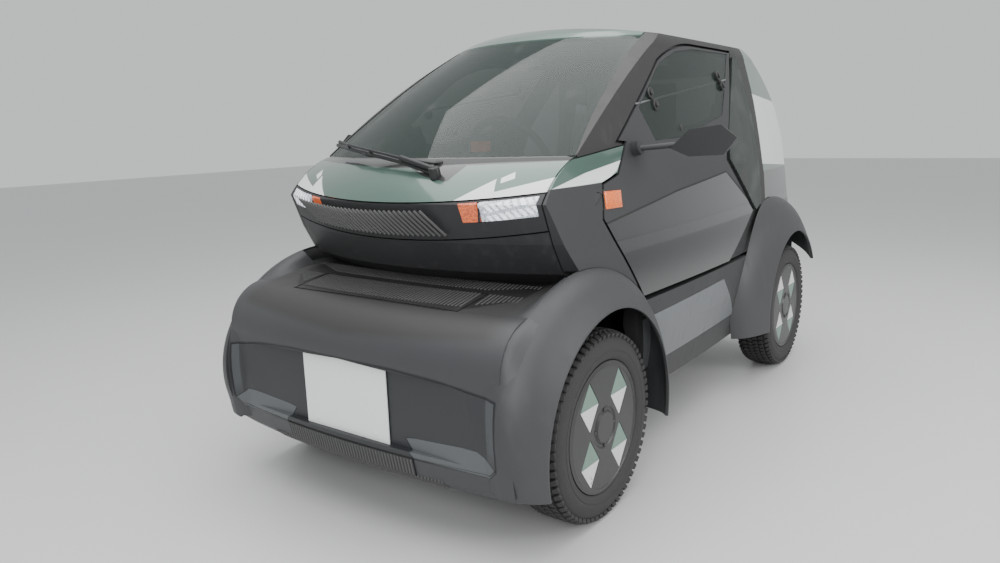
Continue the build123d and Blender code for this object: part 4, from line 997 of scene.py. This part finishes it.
def fender_fairings():
    columns = [fairing_radii(angle) for angle in FAIRING_ANGLES]
    lines = []
    for x, row in zip(FAIRING_X, zip(*columns)):
        points = [(x, FRONT_AXLE_Y - r * cos(angle), TYRE_R + r * sin(angle))
                  for r, angle in zip(row, FAIRING_ANGLES)]
        lines.append(drawn_line("line", points))
    piece = joined("fairing", lines)
    bpy.ops.object.mode_set(mode="EDIT")
    bpy.ops.mesh.select_all(action="SELECT")
    bpy.ops.mesh.bridge_edge_loops()
    bpy.ops.mesh.select_all(action="SELECT")
    bpy.ops.mesh.remove_doubles(threshold=MERGE)
    bpy.ops.mesh.normals_make_consistent(inside=False)
    bpy.ops.object.mode_set(mode="OBJECT")
    upper = max(piece.data.polygons, key=lambda face: face.center.z)
    if upper.normal.z < 0:
        piece.data.flip_normals()
    wall = piece.modifiers.new("wall", "SOLIDIFY")
    wall.thickness = FAIRING_WALL
    wall.offset = -1
    bpy.ops.object.modifier_apply(modifier="wall")
    both = joined("fairings", [piece, mirrored(piece)])
    dress(smoothed(both, 60), "fender_fairings", "body", bumper_mix)


fender_fairings()


# Blank white plate in the bumper's recess

PLATE_CENTRE = (0, -1.1935, 0.386)
PLATE_SIZE = (0.338, 0.005, 0.232)
SCREW_Y = -1.1965
SCREW_PLACES = [(x, SCREW_Y, z) for x in (-0.12, 0.12) for z in (0.30, 0.472)]
SCREW_R = 0.0045


def number_plate():
    plate = block("plate", PLATE_CENTRE, PLATE_SIZE, 0.0018)
    dress(plate, "blank_plate", "body", blank_plate)
    screws = [disc("screw", at, SCREW_R, 0.003, (pi / 2, 0, 0), 16, 0.0008) for at in SCREW_PLACES]
    dress(joined("screws", screws), "plate_screws", "body", blank_plate)


number_plate()


# Orange side lamps in dark trays on the doors' front corners, and covers over the hinge pockets

FLANK_TURN = (radians(-1.5), radians(-7.3), radians(-2.4))


def on_both_doors(piece, name, finish):
    """The piece on the left door and its mirror image on the right one."""
    other = mirrored(piece)
    dress(piece, name + "_left", "left_door", finish)
    dress(other, name + "_right", "right_door", finish)


def side_lamps():
    tray = block("tray", (0.5360, -0.566, 0.9045), (0.005, 0.152, 0.064), 0.0018, 2, FLANK_TURN)
    on_both_doors(smoothed(tray), "side_lamp_tray", lid_plastic)
    lamp = block("lamp", (0.5373, -0.592, 0.9045), (0.008, 0.092, 0.052), 0.0025, 3, FLANK_TURN)
    on_both_doors(smoothed(lamp), "side_lamp", orange_lens)
    cover = block("cover", (0.5323, -0.6690, 0.9040), (0.0026, 0.042, 0.052), 0.0010, 2, FLANK_TURN)
    both = joined("covers", [cover, mirrored(cover)])
    dress(smoothed(both), "hinge_pocket_covers", "body", dark_plastic)


side_lamps()


# Clamps of the sliding window: a rod with four round knobs, and the latch below

ROD = ((0.4955, -0.369, 1.182), (0.4700, 0.470, 1.283))
CLAMP_KNOBS = [
    (0.488, -0.259, 1.218), (0.4955, -0.233, 1.180), (0.4715, 0.371, 1.295), (0.4800, 0.399, 1.257),
]
STRAP_OUT = 0.003


def bar(name, start, end, radius, vertices=16, bevel=0.0):
    """Round bar between two points."""
    run = Vector(end) - Vector(start)
    turn = tuple(run.to_track_quat("Z", "Y").to_euler())
    return disc(name, (Vector(start) + Vector(end)) / 2, radius, run.length, turn, vertices, bevel)


def window_clamps():
    on_both_doors(smoothed(bar("rod", *ROD, 0.0036)), "window_rod", steel)
    knobs = []
    for x, y, z in CLAMP_KNOBS:
        knobs.append(bar("knob", (x - 0.006, y, z - 0.001), (x + 0.011, y, z + 0.001), 0.0185, 28, 0.003))
        knobs.append(bar("cap", (x + 0.010, y, z + 0.001), (x + 0.016, y, z + 0.002), 0.0095, 20, 0.002))
    middles = [(x + STRAP_OUT, y, z) for x, y, z in CLAMP_KNOBS]
    for upper, lower in zip(middles[::2], middles[1::2]):
        knobs.append(bar("strap", upper, lower, 0.008, 12, 0.001))
    knobs.append(bar("latch", (0.504, -0.058, 1.102), (0.519, -0.058, 1.104), 0.0115, 24, 0.003))
    on_both_doors(smoothed(joined("clamps", knobs)), "window_clamps", frame_paint)


window_clamps()


# Wiper: a broad blade with its linkage, resting on the foot of the windscreen

BLADE_LINE = [
    (0.150, -0.944, 1.000), (0.030, -0.936, 1.030), (-0.120, -0.912, 1.052), (-0.270, -0.862, 1.068),
    (-0.400, -0.800, 1.079),
]
ARM_LINE = [(x, y - 0.010, z + 0.014) for x, y, z in BLADE_LINE]


def wiper_blade():
    parts = [bar("blade", a, b, 0.0065, 12) for a, b in zip(BLADE_LINE, BLADE_LINE[1:])]
    parts += [bar("arm", a, b, 0.0042, 12) for a, b in zip(ARM_LINE[:-1], ARM_LINE[1:-1])]
    parts += [bar("yoke", a, b, 0.0050, 10) for a, b in zip(BLADE_LINE[1:4], ARM_LINE[1:4])]
    parts.append(bar("pivot", (0.165, -0.946, 0.985), (0.165, -0.955, 1.018), 0.0165, 24, 0.003))
    parts.append(bar("root", (0.165, -0.951, 1.012), (0.030, -0.946, 1.044), 0.0085, 14, 0.002))
    dress(smoothed(joined("wiper", parts)), "wiper_blade", "body", frame_paint)


wiper_blade()


# A small orange box on the dash, behind the windscreen's foot. It wears the orange lamp lens, so it glows
# faintly though it is no lamp: painted light.
dash_box = block("dash_box", (0.02, -0.555, 1.062), (0.060, 0.035, 0.035), 0.002, 2)
dress(dash_box, "dash_box", "body", orange_lens)


# Seat pads, filled by a cloth simulation

PAD_HALF = 0.215
HEAD_HALF = 0.120
PAD_START = 0.007
PAD_CAP = 0.008
PAD_BEVEL = 0.018
PAD_VOXEL = 0.007
PAD_PRESSURE = 4
PAD_STEPS = 20
PAD_CLEARANCE = 0.0005


def stuffed(piece):
    """Blows the pad up from a slightly smaller shape, and holds every point near where it began."""
    nothing_selected()
    piece.select_set(True)
    bpy.context.view_layer.objects.active = piece
    voxels = piece.modifiers.new("voxels", "REMESH")
    voxels.mode = "VOXEL"
    voxels.voxel_size = PAD_VOXEL
    bpy.ops.object.modifier_apply(modifier="voxels")
    start = [v.co.copy() for v in piece.data.vertices]
    cloth = piece.modifiers.new("filling", "CLOTH")
    cloth.settings.use_pressure = True
    cloth.settings.uniform_pressure_force = PAD_PRESSURE
    cloth.settings.effector_weights.gravity = 0
    scene = bpy.context.scene
    for step in range(1, PAD_STEPS + 1):
        scene.frame_set(step)
    bpy.ops.object.modifier_apply(modifier="filling")
    scene.frame_set(1)
    for vertex, place in zip(piece.data.vertices, start):
        move = vertex.co - place
        if move.length > PAD_CAP:
            vertex.co = place + move.normalized() * PAD_CAP


def pad(outline, half, low, high):
    """Cushion with rounded corners, kept inside the box of its CAD node."""
    ys, zs = [p[0] for p in outline], [p[1] for p in outline]
    middle_y, middle_z = sum(ys) / len(ys), sum(zs) / len(zs)

    def drawn_in(value, middle):
        return value + (PAD_START if value < middle else -PAD_START)

    points = [(-half + PAD_START, drawn_in(y, middle_y), drawn_in(z, middle_z)) for y, z in outline]
    piece = outline_slab("pad", points, (2 * (half - PAD_START), 0, 0))
    bpy.ops.object.mode_set(mode="EDIT")
    bpy.ops.mesh.select_all(action="SELECT")
    bpy.ops.mesh.bevel(offset=PAD_BEVEL, segments=3, affect="EDGES")
    bpy.ops.object.mode_set(mode="OBJECT")
    stuffed(piece)
    for vertex in piece.data.vertices:
        for k in range(3):
            vertex.co[k] = min(max(vertex.co[k], low[k] + PAD_CLEARANCE), high[k] - PAD_CLEARANCE)
    return smoothed(piece, 60)


def pad_group(name, node, pads):
    """The pads of one seat as one piece in place of its CAD node."""
    low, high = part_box(node)
    made = [pad(outline, half, low, high) for outline, half in pads]
    piece = dress(joined(name, made), name, "body", fabric, (node,))


pad_group("driver_pads", "driver_seat", [
    ([(-0.060, 0.470), (-0.060, 0.560), (0.330, 0.540), (0.360, 0.460)], PAD_HALF),
    ([(0.330, 0.560), (0.440, 0.560), (0.545, 1.120), (0.455, 1.130)], PAD_HALF),
    ([(0.470, 1.150), (0.540, 1.150), (0.548, 1.285), (0.480, 1.285)], HEAD_HALF),
])
pad_group("rear_pads", "rear_seat", [
    ([(0.640, 0.6243), (0.640, 0.700), (0.960, 0.690), (0.980, 0.6243)], PAD_HALF),
    ([(0.960, 0.712), (1.050, 0.712), (1.120, 1.090), (1.040, 1.100)], PAD_HALF),
])


# Stage: pale floor and soft light

nothing_selected()
bpy.ops.mesh.primitive_plane_add(size=40, location=(0, 0, 0))
floor = bpy.context.object
floor.name = "studio_floor"
floor_finish = Finish("studio_floor", Roughness=0.42)
floor_tone = floor_finish.noise(1.6, 3)
FLOOR_PALE = (0.60, 0.60, 0.60)
FLOOR_DULL = (0.53, 0.53, 0.53)
floor_finish.use("Base Color", floor_finish.blend(floor_tone * 0.3, FLOOR_PALE, FLOOR_DULL))
floor.data.materials.append(floor_finish.material)


def soft_light(name, at, towards, size, power):
    """Broad light aimed at a point."""
    data = bpy.data.lights.new(name, "AREA")
    data.shape = "RECTANGLE"
    data.size, data.size_y = size
    data.energy = power
    light = bpy.data.objects.new(name, data)
    bpy.context.scene.collection.objects.link(light)
    light.location = at
    light.rotation_euler = (Vector(towards) - Vector(at)).to_track_quat("-Z", "Y").to_euler()


soft_light("ceiling_light", (0.3, -0.6, 3.6), (0, 0, 0), (4.5, 5.0), 210)
soft_light("front_light", (2.8, -4.6, 2.6), (0, -0.4, 0.6), (2.6, 1.6), 110)
soft_light("side_light", (4.6, 0.6, 2.0), (0, 0.2, 0.6), (2.6, 1.8), 90)
world = bpy.data.worlds.new("studio")
bpy.context.scene.world = world
world.use_nodes = True
background = world.node_tree.nodes["Background"]
background.inputs["Color"].default_value = (0.93, 0.95, 0.96, 1)
background.inputs["Strength"].default_value = 0.78
